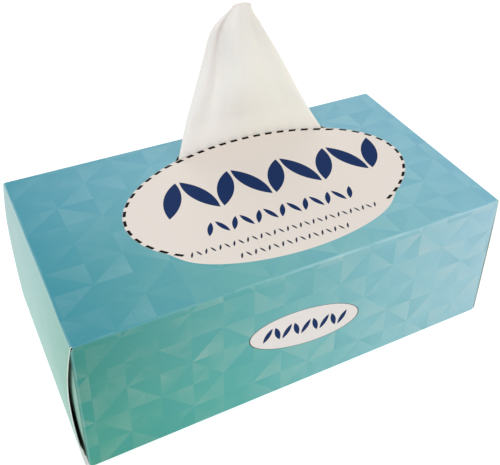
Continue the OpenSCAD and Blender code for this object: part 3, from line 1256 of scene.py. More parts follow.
PANELS = (
    PanelPrint(
        name="printed_front",
        draw=13,
        along=Along.RIGHT,
        up=Along.UP,
        low=((-115, "#469484"), (-40, "#56A39B"), (40, "#81B5B9"), (115, "#98BEC9")),
        high=((-115, "#3B8379"), (-40, "#5FA09E"), (40, "#7EB0B9"), (115, "#9ABECA")),
        rise=(0, 80),
        over=Over.LABEL,
    ),
    PanelPrint(
        name="printed_back",
        draw=12,
        along=Along.LEFT,
        up=Along.UP,
        low=((-115, "#86BAC4"), (0, "#6FADAF"), (115, "#57A098")),
        high=((-115, "#82B3C3"), (0, "#7AAFBC"), (115, "#5F9DAA")),
        rise=(0, 80),
    ),
    PanelPrint(
        name="printed_top",
        draw=11,
        along=Along.RIGHT,
        up=Along.BACK,
        low=((-115, "#408C99"), (-30, "#69A8A8"), (40, "#7FB4BA"), (115, "#80B3C3")),
        high=((-115, "#4F95A5"), (-30, "#75ACBB"), (40, "#7FB0BE"), (115, "#81B3C3")),
        rise=(-50, 50),
        cell=(18.4, 15.4),
        corner=(-95.0, 29.8),
        over=Over.OVAL,
        pale="#A3C6CC",
        deep="#1C85A6",
    ),
    PanelPrint(
        name="printed_bottom",
        draw=14,
        along=Along.RIGHT,
        up=Along.BACK,
        low=((-115, "#469484"), (0, "#6CADAA"), (115, "#98BEC9")),
        high=((-115, "#5FA09A"), (0, "#79B0B4"), (115, "#98BEC9")),
        rise=(-64, 64),
        strength=(0.16, 0.12),
    ),
    PanelPrint(
        name="printed_end",
        draw=11,
        along=Along.BACK,
        up=Along.UP,
        low=((-64, "#9CC6B8"), (0, "#A4CBC1"), (64, "#A2C8C4")),
        high=((-64, "#8DBAAC"), (0, "#A0C5C3"), (64, "#A8C5C6")),
        rise=(0, 80),
        strength=(0.1, 0.1),
        pale="#C2DAD4",
        deep="#8CC4B8",
    ),
)


@dataclass(frozen=True)
class Closure:
    """How one end of the carton is closed.

    Attributes:
        side: Direction of the end along X, -1 or 1.
        bow_front: How far its outer flap bows out along the front edge.
        bow_back: How far it bows out along the back edge.
        foot: How far its foot stands out.
        inset: How far the dust flaps lie inside the fold of the outer flap.
        gap: Open gap between the outer flap and the dust flaps.
        cut: How far the dust flaps are cut back above and below.
        fold_wear_and_highlight: How worn the fold of the outer flap is, which also sets the highlight
            painted along it.
    """

    side: int
    bow_front: float
    bow_back: float
    foot: float
    inset: float
    gap: float
    cut: float
    fold_wear_and_highlight: float


@dataclass
class Carton:
    """Folded and glued carton: a sleeve with the mouth in its top, and its two closed ends.

    Attributes:
        oval: Cut line of the flap.
        left: How the left end is closed.
        right: How the right end is closed.
        card: Thickness of the card.
        fold: Radius of a fold.
        bow_level: Height at which the ends bow out furthest.
        foot_length: Height over which an inner flap takes up the bow.
        flap_inset: How far an outer flap ends inside the front and the back.
        inner_inset: How far an inner flap ends inside them.
        inner_height: Height of an inner flap.
        dust_length: Length of a dust flap.
        spring_length: Length over which a dust flap springs out behind its fold.
        seam_width: Width of the glued strip.
        seam_lift: Gap between that strip and the back.
        throat_depth: How far the mouth's edge is moved back where the tissue passes.
        throat_right: Angle of the throat's right end in degrees.
        throat_left: Angle of its left end.
        throat_taper: Angle over which it begins and ends.
        open_line: Gap between the flap and the mouth's edge.
        support: Length of a panel's first and last step, beside a fold.
        plain_wear_and_highlight: How worn the folds are, and how strong their painted highlight is, apart
            from the upper front one.
        front_wear_and_highlight: How worn that fold is, with its painted highlight, at its left and at
            its right end.
        front_wear_and_highlight_from: Place where its wear and painted highlight start to rise.
        front_wear_and_highlight_over: Length over which they rise.
        fold_steps: Steps over a fold. It and the fields up to seam_counts are numbers of
            steps or of points.
        mouth_corners: Angles that face the right front, right back, left back and left
            front corner of the top, in degrees.
    """

    RIM_SHARES = [0, 0.01, 0.06, 0.94, 0.99, 1]
    RIM_STEPS = [1, 2, 12, 2, 1]

    oval: Oval
    left: Closure = Closure(-1, 4 * MM, 2 * MM, 1 * MM, 0.1 * MM, 2 * MM, 4.2 * MM, 0.3)
    right: Closure = Closure(1, 0.6 * MM, 0.8 * MM, 0.5 * MM, 0.6 * MM, 0.2 * MM, 0.9 * MM, 0.3)
    card: float = 0.5 * MM
    fold: float = 1.2 * MM
    bow_level: float = 46 * MM
    foot_length: float = 9 * MM
    flap_inset: float = 0.8 * MM
    inner_inset: float = 7 * MM
    inner_height: float = 48 * MM
    dust_length: float = 44 * MM
    spring_length: float = 1.4 * MM
    seam_width: float = 16 * MM
    seam_lift: float = 0.05 * MM
    throat_depth: float = 3.0 * MM
    throat_right: float = 47.94
    throat_left: float = 115.4
    throat_taper: float = 2.5
    open_line: float = 0.05 * MM
    support: float = 0.4 * MM
    plain_wear_and_highlight: float = 0.2
    front_wear_and_highlight: tuple[float, float] = (0.05, 0.42)
    front_wear_and_highlight_from: float = -50 * MM
    front_wear_and_highlight_over: float = 70 * MM
    fold_steps: int = 8
    side_count: int = 60
    back_count: int = 130
    beside_count: int = 20
    upright_count: int = 10
    level_count: int = 14
    outer_counts: tuple[int, int] = (49, 41)
    inner_count: int = 25
    dust_rows: int = 33
    dust_steps: tuple[int, int] = (10, 12)
    seam_counts: tuple[int, int] = (9, 3)
    mouth_corners: tuple[float, float, float, float] = (-22.0, 30.0, 150.0, 204.0)

    def __post_init__(self) -> None:
        """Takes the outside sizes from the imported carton."""
        low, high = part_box("carton")
        self.half_length = -low.x - self.left.bow_front
        self.half_depth = high.y
        self.height = high.z
        self.flat_depth = self.half_depth - self.fold
        self.left_end = -self.sleeve(self.left)
        self.right_end = self.sleeve(self.right)

    def sleeve(self, end: Closure) -> float:
        """Distance from the middle to where an end's dust flaps start to fold."""
        return self.half_length - end.inset - self.fold

    def mouth_point(self, angle: Array) -> Array:
        """Outline of the mouth: the oval, moved back by the throat where the tissue passes.

        Args:
            angle: Angles in degrees.

        Returns:
            One row of two for each angle.
        """
        span = (angle - self.throat_right) / self.throat_taper + 1
        rest = (self.throat_left - angle) / self.throat_taper + 1
        points = self.oval.point(angle, self.open_line)
        points[:, 1] += self.throat_depth * ease(span) * ease(rest)
        return points

    def front_counts(self) -> tuple[int, int]:
        """Steps beside the crease, and along it, on the front edge of the top."""
        return self.beside_count, self.back_count - 2 * self.beside_count

    def mouth_loop(self) -> Array:
        """Points round the mouth, against the clock, from its right front corner.

        Returns:
            One row of two for each point.
        """
        right, back, left, front = self.mouth_corners
        beside, along = self.front_counts()
        turns = stations(
            [right, back, left, front, self.oval.end],
            [self.side_count, self.back_count, self.side_count, beside],
        )
        arc = self.mouth_point(turns)
        rest = self.mouth_point(stations([self.oval.start, right], [beside])[:-1])
        share = (np.arange(1, along) / along)[:, None]
        crease = arc[-1] * (1 - share) + rest[0] * share
        return np.concatenate([arc, crease, rest])

    def edge_places(self) -> tuple[Array, Array]:
        """Places along X of the points on the front and on the back edge of the top.

        Returns:
            The places in front and those behind, from left to right.
        """
        beside, along = self.front_counts()
        left = self.oval.point(np.array(self.oval.end))[0]
        right = self.oval.point(np.array(self.oval.start))[0]
        front = stations([self.left_end, left, right, self.right_end], [beside, along, beside])
        return front, np.linspace(self.left_end, self.right_end, self.back_count + 1)

    def edge_loop(self) -> Array:
        """Points round the flat of the top, each of them facing one of the mouth's.

        Returns:
            One row of two for each point.
        """
        front, back = self.edge_places()
        side = np.linspace(-self.flat_depth, self.flat_depth, self.side_count + 1)
        return np.concatenate(
            [
                np.stack([np.full(self.side_count, self.right_end), side[:-1]], 1),
                np.stack([back[:0:-1], np.full(self.back_count, self.flat_depth)], 1),
                np.stack([np.full(self.side_count, self.left_end), side[:0:-1]], 1),
                np.stack([front[:-1], np.full(self.back_count, -self.flat_depth)], 1),
            ]
        )

    def top(self) -> Skin:
        """Top panel: straight lines from the mouth's outline to the edges of the flat.

        Returns:
            The skin of its outside.
        """
        inner, outer = self.mouth_loop(), self.edge_loop()
        inner = np.concatenate([inner, inner[:1]])
        outer = np.concatenate([outer, outer[:1]])
        share = stations(self.RIM_SHARES, self.RIM_STEPS)[:, None, None]
        plan = inner * (1 - share) + outer * share
        grid = np.concatenate([plan, np.full((*plan.shape[:2], 1), self.height)], -1)
        return Skin.of_grid(grid, Finish.TOP)

    def wrap(self) -> Skin:
        """Front, bottom and back with the four folds between them.

        A line goes round the section from the front edge of the top to its back edge. Each
        fold is a quarter circle. Along X, the points slide from the places on the front
        edge to those on the back edge. A panel's print starts in one fold and ends in the
        next, and the back's runs up to the top.

        Returns:
            The skin of their outside.
        """
        radius, depth, top = self.fold, self.flat_depth, self.height - self.fold
        bend = np.linspace(0, 90, self.fold_steps + 1)

        def quarter(y: float, z: float, start: float) -> Array:
            """Fold round a middle, from a start angle."""
            turn = np.radians(start + bend)
            return np.stack([y + radius * np.cos(turn), z + radius * np.sin(turn)], 1)

        near, upright, level = self.support, self.upright_count, self.level_count
        down = np.linspace(top - near, radius + near, upright)
        back = np.linspace(near - depth, depth - near, level)
        rise = np.linspace(radius + near, top - near, upright)
        runs = [
            quarter(-depth, top, 90),
            np.stack([np.full(upright, -self.half_depth), down], 1),
            quarter(-depth, radius, 180),
            np.stack([back, np.zeros(level)], 1),
            quarter(depth, radius, 270),
            np.stack([np.full(upright, self.half_depth), rise], 1),
            quarter(depth, top, 0),
        ]
        line = np.concatenate(runs)
        # pale lines over the folds: partly wear, partly a painted highlight
        fold_wear_and_highlight = np.concatenate(
            [np.sin(np.radians(2 * bend)) if k % 2 == 0 else np.zeros(len(r)) for k, r in enumerate(runs)]
        )
        in_front = np.arange(len(fold_wear_and_highlight)) <= self.fold_steps
        folded = 2 + 2 * (self.fold_steps // 2)
        marks = np.cumsum([0, self.fold_steps // 2, upright + folded, level + folded, upright + folded])
        finish = np.full(len(line) - 1, Finish.TOP)
        for k, panel in enumerate((Finish.TOP, Finish.FRONT, Finish.BOTTOM, Finish.BACK)):
            finish[marks[k] : marks[k + 1]] = panel
        front, back = self.edge_places()
        share = np.linspace(0, 1, len(line))[:, None]
        x = front * (1 - share) + back * share
        grid = np.stack(np.broadcast_arrays(x, line[:, :1], line[:, 1:]), -1)
        # wear and painted highlight of the upper front fold: faint at its left, stronger to the right
        least, most = self.front_wear_and_highlight
        rubbed_and_lit = least + (most - least) * ease((x - self.front_wear_and_highlight_from) / self.front_wear_and_highlight_over)
        rubbed_and_lit = np.where(in_front[:, None], rubbed_and_lit, self.plain_wear_and_highlight)
        return Skin.of_grid(grid, finish[:, None], fold_wear_and_highlight[:, None] * rubbed_and_lit)

    def bow(self, end: Closure, y: Array, z: Array) -> Array:
        """Bow of an end flap: a parabola above its deepest level and one below it.

        Args:
            end: The end that the flap closes.
            y: Places along Y.
            z: Heights.

        Returns:
            How far the flap stands out there.
        """
        depth = end.bow_front + (end.bow_back - end.bow_front) * (y / self.half_depth + 1) / 2
        above = (z - self.bow_level) / (self.height - self.fold - self.bow_level)
        below = (self.bow_level - z) / self.bow_level
        lower = end.foot + (depth - end.foot) * (1 - below**2)
        return np.where(z > self.bow_level, depth * (1 - above**2), lower)

    def foot(self, z: Array) -> Array:
        """Share of the bow that a flap folded up at the bottom has taken at a height."""
        return ease((z - self.fold) / self.foot_length)

    def outer_flap(self, end: Closure) -> Skin:
        """Outer flap, made at the right: over the fold at the top, then down the bowed end.

        Args:
            end: The end that it closes.

        Returns:
            The closed flap.
        """
        width = self.half_depth - self.flap_inset
        columns, rows = self.outer_counts
        y = np.linspace(-width, width, columns)[None, :]
        bend = np.radians(np.linspace(90, 0, self.fold_steps + 1))[:, None]
        start = self.half_length - self.fold
        heights = np.linspace(self.height - self.fold, self.card, rows)[1:, None]
        over_x = start + self.fold * np.cos(bend)
        over_z = self.height - self.fold + self.fold * np.sin(bend)
        x = np.concatenate(
            [
                np.full((1, columns), self.sleeve(end)),
                np.broadcast_to(over_x, (len(bend), columns)),
                self.half_length + self.bow(end, y, heights),
            ]
        )
        z = np.concatenate([[[self.height]], over_z, heights])
        # pale line over the outer flap's fold: partly wear, partly a painted highlight
        over = np.sin(np.radians(np.linspace(0, 180, len(bend))))
        fold_wear_and_highlight = np.concatenate([[0.0], over, np.zeros(len(heights))])
        grid = np.stack(np.broadcast_arrays(x, y, z), -1)
        half = 1 + self.fold_steps // 2
        finish = np.where(np.arange(len(x) - 1) < half, Finish.TOP, Finish.END)
        skin = Skin.of_grid(grid, finish[:, None], fold_wear_and_highlight[:, None] * end.fold_wear_and_highlight)
        return skin.thick(self.card, Finish.BOARD, Finish.EDGE)

    def inner_flap(self, end: Closure) -> Skin:
        """Inner flap, made at the right: up from the fold at the bottom, against the outer one.

        Args:
            end: The end that it closes.

        Returns:
            The closed flap.
        """
        width = self.half_depth - self.inner_inset
        count = self.inner_count
        y = np.linspace(width, -width, count)[None, :]
        bend = np.radians(np.linspace(-90, 0, self.fold_steps + 1))[:, None]
        heights = np.linspace(self.fold, self.inner_height, count)[1:, None]
        over_x = self.half_length - self.fold + self.fold * np.cos(bend)
        lean = (self.bow(end, y, heights) - self.card) * self.foot(heights)
        x = np.concatenate(
            [
                np.full((1, count), self.sleeve(end)),
                np.broadcast_to(over_x, (len(bend), count)),
                self.half_length + lean,
            ]
        )
        z = np.concatenate([[[0.0]], self.fold + self.fold * np.sin(bend), heights])
        grid = np.stack(np.broadcast_arrays(x, y, z), -1)
        return Skin.of_grid(grid, Finish.BOTTOM).thick(self.card, Finish.BOARD, Finish.EDGE)

    def dust_flap(self, end: Closure, side: int) -> Skin:
        """Dust flap, made at the right, folded in from the front at -1 or the back at 1.

        Past its fold it springs out behind the bowed outer flap and follows it at a gap.
        The flap is cut back above and below, and the cut starts behind the fold.

        Args:
            end: The end that it closes.
            side: The side that it folds in from.

        Returns:
            The closed flap.
        """
        bend = np.radians(np.linspace(0, 90, self.fold_steps + 1))
        marks = [0, self.spring_length, self.dust_length - self.fold]
        reach = stations(marks, list(self.dust_steps))[1:]
        depth = np.concatenate([self.fold * (1 - np.cos(bend)), self.fold + reach])
        turned = np.append(bend, np.full(len(reach), bend[-1]))
        outside = self.sleeve(end) + self.fold * np.sin(turned)
        share = np.concatenate([np.zeros(len(bend)), ease(reach / self.spring_length)])
        cut = self.fold + (end.cut - self.fold) * ease(depth / self.fold)
        level = np.linspace(1, 0, self.dust_rows)[:, None]
        z = cut + (self.height - 2 * cut) * level
        y = -self.half_depth + depth[None, :]
        flat = self.half_length - self.card - end.gap - outside[-1]
        out = np.maximum(self.bow(end, -side * y, z) + flat, 0)
        x = outside + out * self.foot(z) * share
        grid = np.stack(np.broadcast_arrays(x, y, z), -1)
        panel = Finish.FRONT if side < 0 else Finish.BACK
        finish = np.where(np.arange(len(depth) - 1) < self.fold_steps, panel, Finish.END)
        # pale line over the dust flap's fold: partly wear, partly a painted highlight
        fold_wear_and_highlight = self.plain_wear_and_highlight * np.concatenate([np.sin(2 * bend), np.zeros(len(reach))])
        skin = Skin.of_grid(grid, finish[None, :], fold_wear_and_highlight[None, :])
        skin = skin.thick(self.card, Finish.BOARD, Finish.EDGE)
        return skin.mirrored(1) if side > 0 else skin

    def seam(self) -> Skin:
        """Strip of the bottom that is glued up inside the back.

        Returns:
            The closed strip.
        """
        y = self.half_depth - self.card - self.seam_lift
        columns, rows = self.seam_counts
        x = np.linspace(self.right_end, self.left_end, columns)
        z = np.linspace(self.card, self.card + self.seam_width, rows)
        grid = np.stack(np.broadcast_arrays(x[None, :], y, z[:, None]), -1)
        return Skin.of_grid(grid, Finish.BOARD).thick(self.card, Finish.BOARD, Finish.EDGE)

    def build(self, materials: list[Material]) -> Piece:
        """Carton as one piece, in place of its solid.

        Args:
            materials: Materials in the order of the finishes.

        Returns:
            The piece.
        """
        sleeve = Skin.joined([self.wrap(), self.top()])
        skins = [sleeve.thick(self.card, Finish.BOARD, Finish.EDGE), self.seam()]
        for end in (self.left, self.right):
            flaps = [self.outer_flap(end), self.inner_flap(end)]
            flaps += [self.dust_flap(end, side) for side in (-1, 1)]
            skins += [f.mirrored(0) for f in flaps] if end.side < 0 else flaps
        piece = Skin.gathered(skins).piece("folded_carton", materials)
        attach(piece, "box")
        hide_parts("carton")
        return piece


@dataclass
class OvalFlap:
    """Flap that lifts along its perforation and turns on its crease.

    Attributes:
        oval: Its cut line.
        card: Thickness of the card.
        corner: Angle that the cut line's points keep from the crease, in degrees.
        columns: Number of points along the crease.
    """

    RIM_SHARES = [0, 0.01, 0.05, 0.95, 0.99, 1]
    RIM_STEPS = [1, 1, 14, 1, 1]

    oval: Oval
    card: float = 0.5 * MM
    corner: float = 0.35
    columns: int = 240

    def build(self, printed: Material, board: Material, edge: Material) -> Piece:
        """Flap as one piece: straight lines from the crease to the oval, made thick.

        Args:
            printed: Material of its upper face.
            board: Material of its lower face.
            edge: Material of its torn edge.

        Returns:
            The piece, which rides on the flap's body.
        """
        _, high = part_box("opening_flap")
        angle = np.linspace(self.oval.start + self.corner, self.oval.end - self.corner, self.columns)
        arc = self.oval.point(angle)
        ends = self.oval.point(np.array([self.oval.start, self.oval.end]))[:, 0]
        hinge_x = np.linspace(ends[0], ends[1], self.columns)
        hinge = np.stack([hinge_x, np.full(self.columns, self.oval.hinge_y)], 1)
        share = stations(self.RIM_SHARES, self.RIM_STEPS)[:, None, None]
        plan = hinge * (1 - share) + arc * share
        grid = np.concatenate([plan, np.full((*plan.shape[:2], 1), high.z)], -1)
        skin = Skin.of_grid(grid, 0).thick(self.card, 1, 2)
        piece = skin.piece("perforated_flap", [printed, board, edge])
        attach(piece, "flap")
        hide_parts("opening_flap")
        return piece


@dataclass
class TissueStack:
    """Stack of interfolded tissues, whose folded edges show along its front and back.

    Attributes:
        folds: Number of folded edges that show.
        per_fold: Steps over one of them.
        bulge: How far a folded edge stands out.
        sink: How far the top sags at most.
        slack: Height of the ripples in the edges.
        wave_rate: Rate of those ripples along the stack.
        row_shift: How far the ripples shift from one edge to the next.
        held: Share of a ripple in the groove between two edges.
        sag: Shares of the sag in the middle, at the sides, in ripples, and at least.
        sag_rate: Rate of the sag's ripples across the stack.
        seeds: Seeds of the ripples of the back, the front and the top.
        counts: Points along the stack, across its top and across its bottom.
    """

    folds: int = 22
    per_fold: int = 6
    bulge: float = 1.2 * MM
    sink: float = 1.1 * MM
    slack: float = 0.5 * MM
    wave_rate: float = 1.3
    row_shift: float = 0.37
    held: float = 0.2
    sag: tuple[float, float, float, float] = (0.5, 0.25, 0.25, 0.05)
    sag_rate: float = 0.8
    seeds: tuple[int, int, int] = (3, 5, 7)
    counts: tuple[int, int, int] = (91, 41, 13)

    def build(self, material: Material) -> Piece:
        """Stack as one closed piece.

        Its section runs along the bottom, up the back over the folded edges, along the
        top and down the front. Each folded edge is the height of half a sine. Slow
        ripples along X make the edges uneven and let the top sag, and the ends are grids
        between the front and the back edges.

        Args:
            material: Material of all its faces.

        Returns:
            The piece.
        """
        low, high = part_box("tissue_stack")
        columns, across_count, flat_count = self.counts
        back_seed, front_seed, top_seed = self.seeds
        x = np.linspace(low.x, high.x, columns)[:, None]
        count = self.folds * self.per_fold
        rise = np.linspace(0, 1, count + 1)[None, :]
        edge = np.abs(np.sin(np.pi * self.folds * rise))
        row = np.floor(rise * self.folds)
        long_x = x / (high.x - low.x)

        def side(sign: int, seed: int) -> Array:
            """Places of the folded edges along Y."""
            wave = ripple(long_x * self.wave_rate + row * self.row_shift, seed) * self.slack
            wave = wave * (self.held + (1 - self.held) * edge)
            return sign * (high.y - self.bulge + self.bulge * edge + wave - self.slack)

        span = np.linspace(-1, 1, across_count)[None, :]
        middle, sides, rippled, least = self.sag
        sag = (1 - span**2) * middle + sides
        sag = sag + rippled * ripple(span * self.sag_rate + long_x, top_seed) * (1 - span**4)
        top_z = high.z - self.sink * np.clip(sag, least, 1)
        ends_z = top_z[:, :1]
        height = low.z + (ends_z - low.z) * rise
        back, front = side(1, back_seed), side(-1, front_seed)
        flat = np.linspace(0, 1, flat_count)[None, :]
        bottom_y = front[:, :1] + (back[:, :1] - front[:, :1]) * flat
        across = (span + 1) / 2
        top_y = front[:, -1:] + (back[:, -1:] - front[:, -1:]) * across
        top_z = top_z + (top_z[:, :1] - top_z[:, -1:]) * across
        y = np.concatenate([bottom_y, back[:, 1:], top_y[:, -2::-1], front[:, -2::-1]], 1)
        z = np.concatenate(
            [np.full_like(bottom_y, low.z), height[:, 1:], top_z[:, -2::-1], height[:, -2::-1]], 1
        )
        loop = np.stack([np.broadcast_to(x, y.shape), y, z], -1).transpose(1, 0, 2)
        skins = [Skin.of_grid(loop, 0)]
        for place, flip in ((0, 1), (-1, -1)):
            lines = front[place][:, None] + (back[place] - front[place])[:, None] * across
            tall = low.z + (top_z[place] - low.z) * rise[0][:, None]
            grid = np.stack([np.full_like(lines, x[place, 0]), lines, tall], -1)
            skins.append(Skin.of_grid(grid[:, ::flip], 0))
        piece = Skin.joined(skins).piece("folded_tissues", [material])
        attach(piece, "box")
        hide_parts("tissue_stack")
        return piece


@dataclass
class DrawnTissue:
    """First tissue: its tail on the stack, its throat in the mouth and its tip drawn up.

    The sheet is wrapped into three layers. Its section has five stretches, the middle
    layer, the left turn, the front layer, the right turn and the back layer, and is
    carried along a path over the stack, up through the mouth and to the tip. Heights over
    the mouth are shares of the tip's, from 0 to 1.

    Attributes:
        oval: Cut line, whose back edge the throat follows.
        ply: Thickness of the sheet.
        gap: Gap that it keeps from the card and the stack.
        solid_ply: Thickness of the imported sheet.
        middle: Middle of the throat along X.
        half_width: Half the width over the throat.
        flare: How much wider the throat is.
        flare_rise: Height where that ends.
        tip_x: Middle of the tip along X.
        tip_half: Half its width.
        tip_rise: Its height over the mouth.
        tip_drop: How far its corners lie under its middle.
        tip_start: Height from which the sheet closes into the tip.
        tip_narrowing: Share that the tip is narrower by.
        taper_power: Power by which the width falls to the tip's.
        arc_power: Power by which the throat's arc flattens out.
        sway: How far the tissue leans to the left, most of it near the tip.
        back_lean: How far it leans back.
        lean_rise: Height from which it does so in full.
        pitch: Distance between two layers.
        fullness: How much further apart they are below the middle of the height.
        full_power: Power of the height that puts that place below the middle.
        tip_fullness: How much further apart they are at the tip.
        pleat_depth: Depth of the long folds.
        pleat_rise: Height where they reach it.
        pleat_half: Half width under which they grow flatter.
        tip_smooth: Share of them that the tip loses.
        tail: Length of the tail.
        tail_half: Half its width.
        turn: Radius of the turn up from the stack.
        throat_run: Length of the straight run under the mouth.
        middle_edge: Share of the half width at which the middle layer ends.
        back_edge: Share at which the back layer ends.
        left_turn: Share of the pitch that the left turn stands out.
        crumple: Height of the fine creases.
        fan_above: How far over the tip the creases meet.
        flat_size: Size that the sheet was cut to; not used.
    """

    PLEATS = ((-0.65, 0.2, 0.055), (0.85, 0.42, 0.16), (-0.12, 0.8, 0.07), (0.2, 0.07, 0.05))
    ROUND_STEPS = [34, 9, 46, 11, 32]
    PATH_STEPS = [28, 14, 170, 34]
    FAN_RATES = (3.1, 0.3)
    FAN_RIPPLE = (11, 7, 1.0)
    CROSS_RATES = (2, 6)
    CROSS_RIPPLE = (17, 4, 0.7)
    CROSS_SHARE = 0.5
    CREASE_RISE = 0.25
    CREASE_FADE = (0.85, 0.15, 0.6)

    oval: Oval
    ply: float = 0.26 * MM
    gap: float = 0.3 * MM
    solid_ply: float = 0.3 * MM
    middle: float = 21.5 * MM
    half_width: float = 43.5 * MM
    flare: float = 1.2 * MM
    flare_rise: float = 0.4
    tip_x: float = 18.4 * MM
    tip_half: float = 8 * MM
    tip_rise: float = 83 * MM
    tip_drop: float = 1.2 * MM
    tip_start: float = 0.83
    tip_narrowing: float = 0.32
    taper_power: float = 0.9
    arc_power: float = 1.2
    sway: float = 3.6 * MM
    back_lean: float = 1.2 * MM
    lean_rise: float = 0.2
    pitch: float = 0.95 * MM
    fullness: float = 3.2 * MM
    full_power: float = 0.7
    tip_fullness: float = -0.45 * MM
    pleat_depth: float = 4.5 * MM
    pleat_rise: float = 0.5
    pleat_half: float = 18 * MM
    tip_smooth: float = 0.7
    tail: float = 62 * MM
    tail_half: float = 62 * MM
    turn: float = 7 * MM
    throat_run: float = 3 * MM
    middle_edge: float = 0.7
    back_edge: float = 0.89
    left_turn: float = 0.8
    crumple: float = 0.22 * MM
    fan_above: float = 25 * MM
    flat_size: tuple[float, float] = (0.210, 0.200)

    def __post_init__(self) -> None:
        """Works out the path from the stack and the carton."""
        self.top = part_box("carton")[1].z
        self.tail_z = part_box("tissue_stack")[1].z + self.gap + self.solid_ply / 2 + 2 * self.pitch
        self.back_y = self.oval.y + self.oval.half_width + self.gap + self.solid_ply / 2
        self.turn_length = self.turn * math.pi / 2
        self.rise_start = self.tail_z + self.turn
        self.length = self.tail + self.turn_length + self.top + self.tip_rise - self.rise_start
        self.mouth = self.tail + self.turn_length + self.top - self.rise_start

    def section(self, q: Array, half: Array, pitch: Array) -> tuple[Array, Array]:
        """Section of the wrapped sheet: three straight layers and two half turns between them.

        Args:
            q: Places round the section, from 0 to 5.
            half: Half the width.
            pitch: Distance between two layers.

        Returns:
            Place across, and depth, negative towards the back.
        """
        left, right = self.left_turn * pitch - half, half - pitch
        turn = np.pi * (q - np.floor(q))
        stretch = np.clip(np.floor(q), 0, 4)
        part = q - stretch
        across = np.select(
            [stretch == 0, stretch == 1, stretch == 2, stretch == 3],
            [
                self.middle_edge * half + (left - self.middle_edge * half) * part,
                left - self.left_turn * pitch * np.sin(turn),
                left + (right - left) * part,
                right + pitch * np.sin(turn),
            ],
            right - (right + self.back_edge * half) * part,
        )
        depth = np.select(
            [stretch == 0, stretch == 1, stretch == 2, stretch == 3],
            [-pitch, -pitch / 2 * (1 + np.cos(turn)), 0 * pitch, pitch * (np.cos(turn) - 1)],
            -2 * pitch,
        )
        return across, depth

    def pleats(self, f: Array) -> Array:
        """Long soft folds from the left edge at 0 to the right at 1, a sum of bells."""
        return sum(height * bell(f, middle, half) for height, middle, half in self.PLEATS)

    def points(self, q: Array, s: Array) -> Array:
        """Middle surface of the sheet.

        Args:
            q: Places round the section.
            s: Places along the path.

        Returns:
            Points in the shape of q and s, with three values each.
        """
        h = np.clip((s - self.mouth) / self.tip_rise, 0, 1)
        tip = ease((h - self.tip_start) / (1 - self.tip_start))
        above = self.tip_half * (1 - self.tip_narrowing * tip)
        above = above + (self.half_width - self.tip_half) * (1 - h) ** self.taper_power
        above = above + self.flare * np.maximum(1 - h / self.flare_rise, 0) ** 2
        mouth_half = self.half_width + self.flare
        spread = ease(1 - s / (self.mouth - self.throat_run))
        below = mouth_half + (self.tail_half - mouth_half) * spread
        half = np.where(s > self.mouth, above, below)
        swing = self.tip_x + (self.middle - self.tip_x) * (1 - h) - self.sway * np.sin(np.pi * h**4)
        rest = self.middle + (self.tip_x - self.middle) * ease((self.mouth - s) / self.mouth)
        middle = np.where(s > self.mouth, swing, rest)
        full = self.fullness * np.sin(np.pi * h**self.full_power) ** 2
        pitch = self.pitch + full + self.tip_fullness * tip
        across, depth = self.section(q, half, pitch)
        side = across / half
        x = middle + across
        soft = self.pleat_depth * ease(h / self.pleat_rise) * np.minimum(1, half / self.pleat_half)
        depth = depth + soft * (1 - self.tip_smooth * tip) * self.pleats((side + 1) / 2)
        bend = np.pi / 2 * np.clip((s - self.tail) / self.turn_length, 0, 1)
        arc = (s - self.tail) / self.turn_length * np.pi / 2
        path_y = np.select(
            [s < self.tail, s < self.tail + self.turn_length],
            [self.back_y - self.turn - self.tail + s, self.back_y - self.turn + self.turn * np.sin(arc)],
            self.back_y + self.back_lean * ease(h / self.lean_rise),
        )
        path_z = np.select(
            [s < self.tail, s < self.tail + self.turn_length],
            [self.tail_z + 0 * s, self.rise_start - self.turn * np.cos(arc)],
            self.rise_start + s - self.tail - self.turn_length,
        )
        bow = self.oval.y + self.oval.half_width - self.oval.back_edge(x)
        bow = bow * (1 - h) ** self.arc_power * np.minimum(s / self.tail, 1)
        depth = depth + self.creases(x, s, h)
        y = path_y - depth * np.sin(bend) - bow
        z = path_z + depth * np.cos(bend) - self.tip_drop * side**2 * tip
        return np.stack([x, y, z], -1)

    def creases(self, x: Array, s: Array, h: Array) -> Array:
        """Fine creases that fan out from the tip: ripples over the angle seen from above it,
        with cross ripples, none in the mouth and weaker at the tip.

        Args:
            x: Places along X.
            s: Places along the path.
            h: Heights over the mouth.

        Returns:
            Depth of the creases.
        """
        fan = (x - self.tip_x) / (self.length + self.fan_above - s)
        rate, twist = self.FAN_RATES
        lines = ripple(fan * rate + twist * s / self.length, *self.FAN_RIPPLE)
        rate, climb = self.CROSS_RATES
        cross = ripple(s / self.length * climb + fan * rate, *self.CROSS_RIPPLE)
        start, over, lost = self.CREASE_FADE
        strength = ease(h / self.CREASE_RISE) * (1 - lost * ease((h - start) / over))
        return self.crumple * strength * (lines + self.CROSS_SHARE * cross)

    def build(self, material: Material) -> Piece:
        """Tissue as one closed sheet.

        Args:
            material: Its material.

        Returns:
            The piece.
        """
        q = stations([0, 1, 2, 3, 4, 5], self.ROUND_STEPS)[None, :]
        tip_at = self.length - (1 - self.tip_start) * self.tip_rise
        marks = [0, self.tail, self.tail + self.turn_length, tip_at, self.length]
        s = stations(marks, self.PATH_STEPS)[:, None]
        grid = self.points(*np.broadcast_arrays(q, s))
        skin = Skin.of_grid(grid, 0).thick(self.ply, 0, 0, share=0.5)
        piece = skin.piece("drawn_tissue", [material])
        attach(piece, "box")
        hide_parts("pulled_tissue")
        return piece


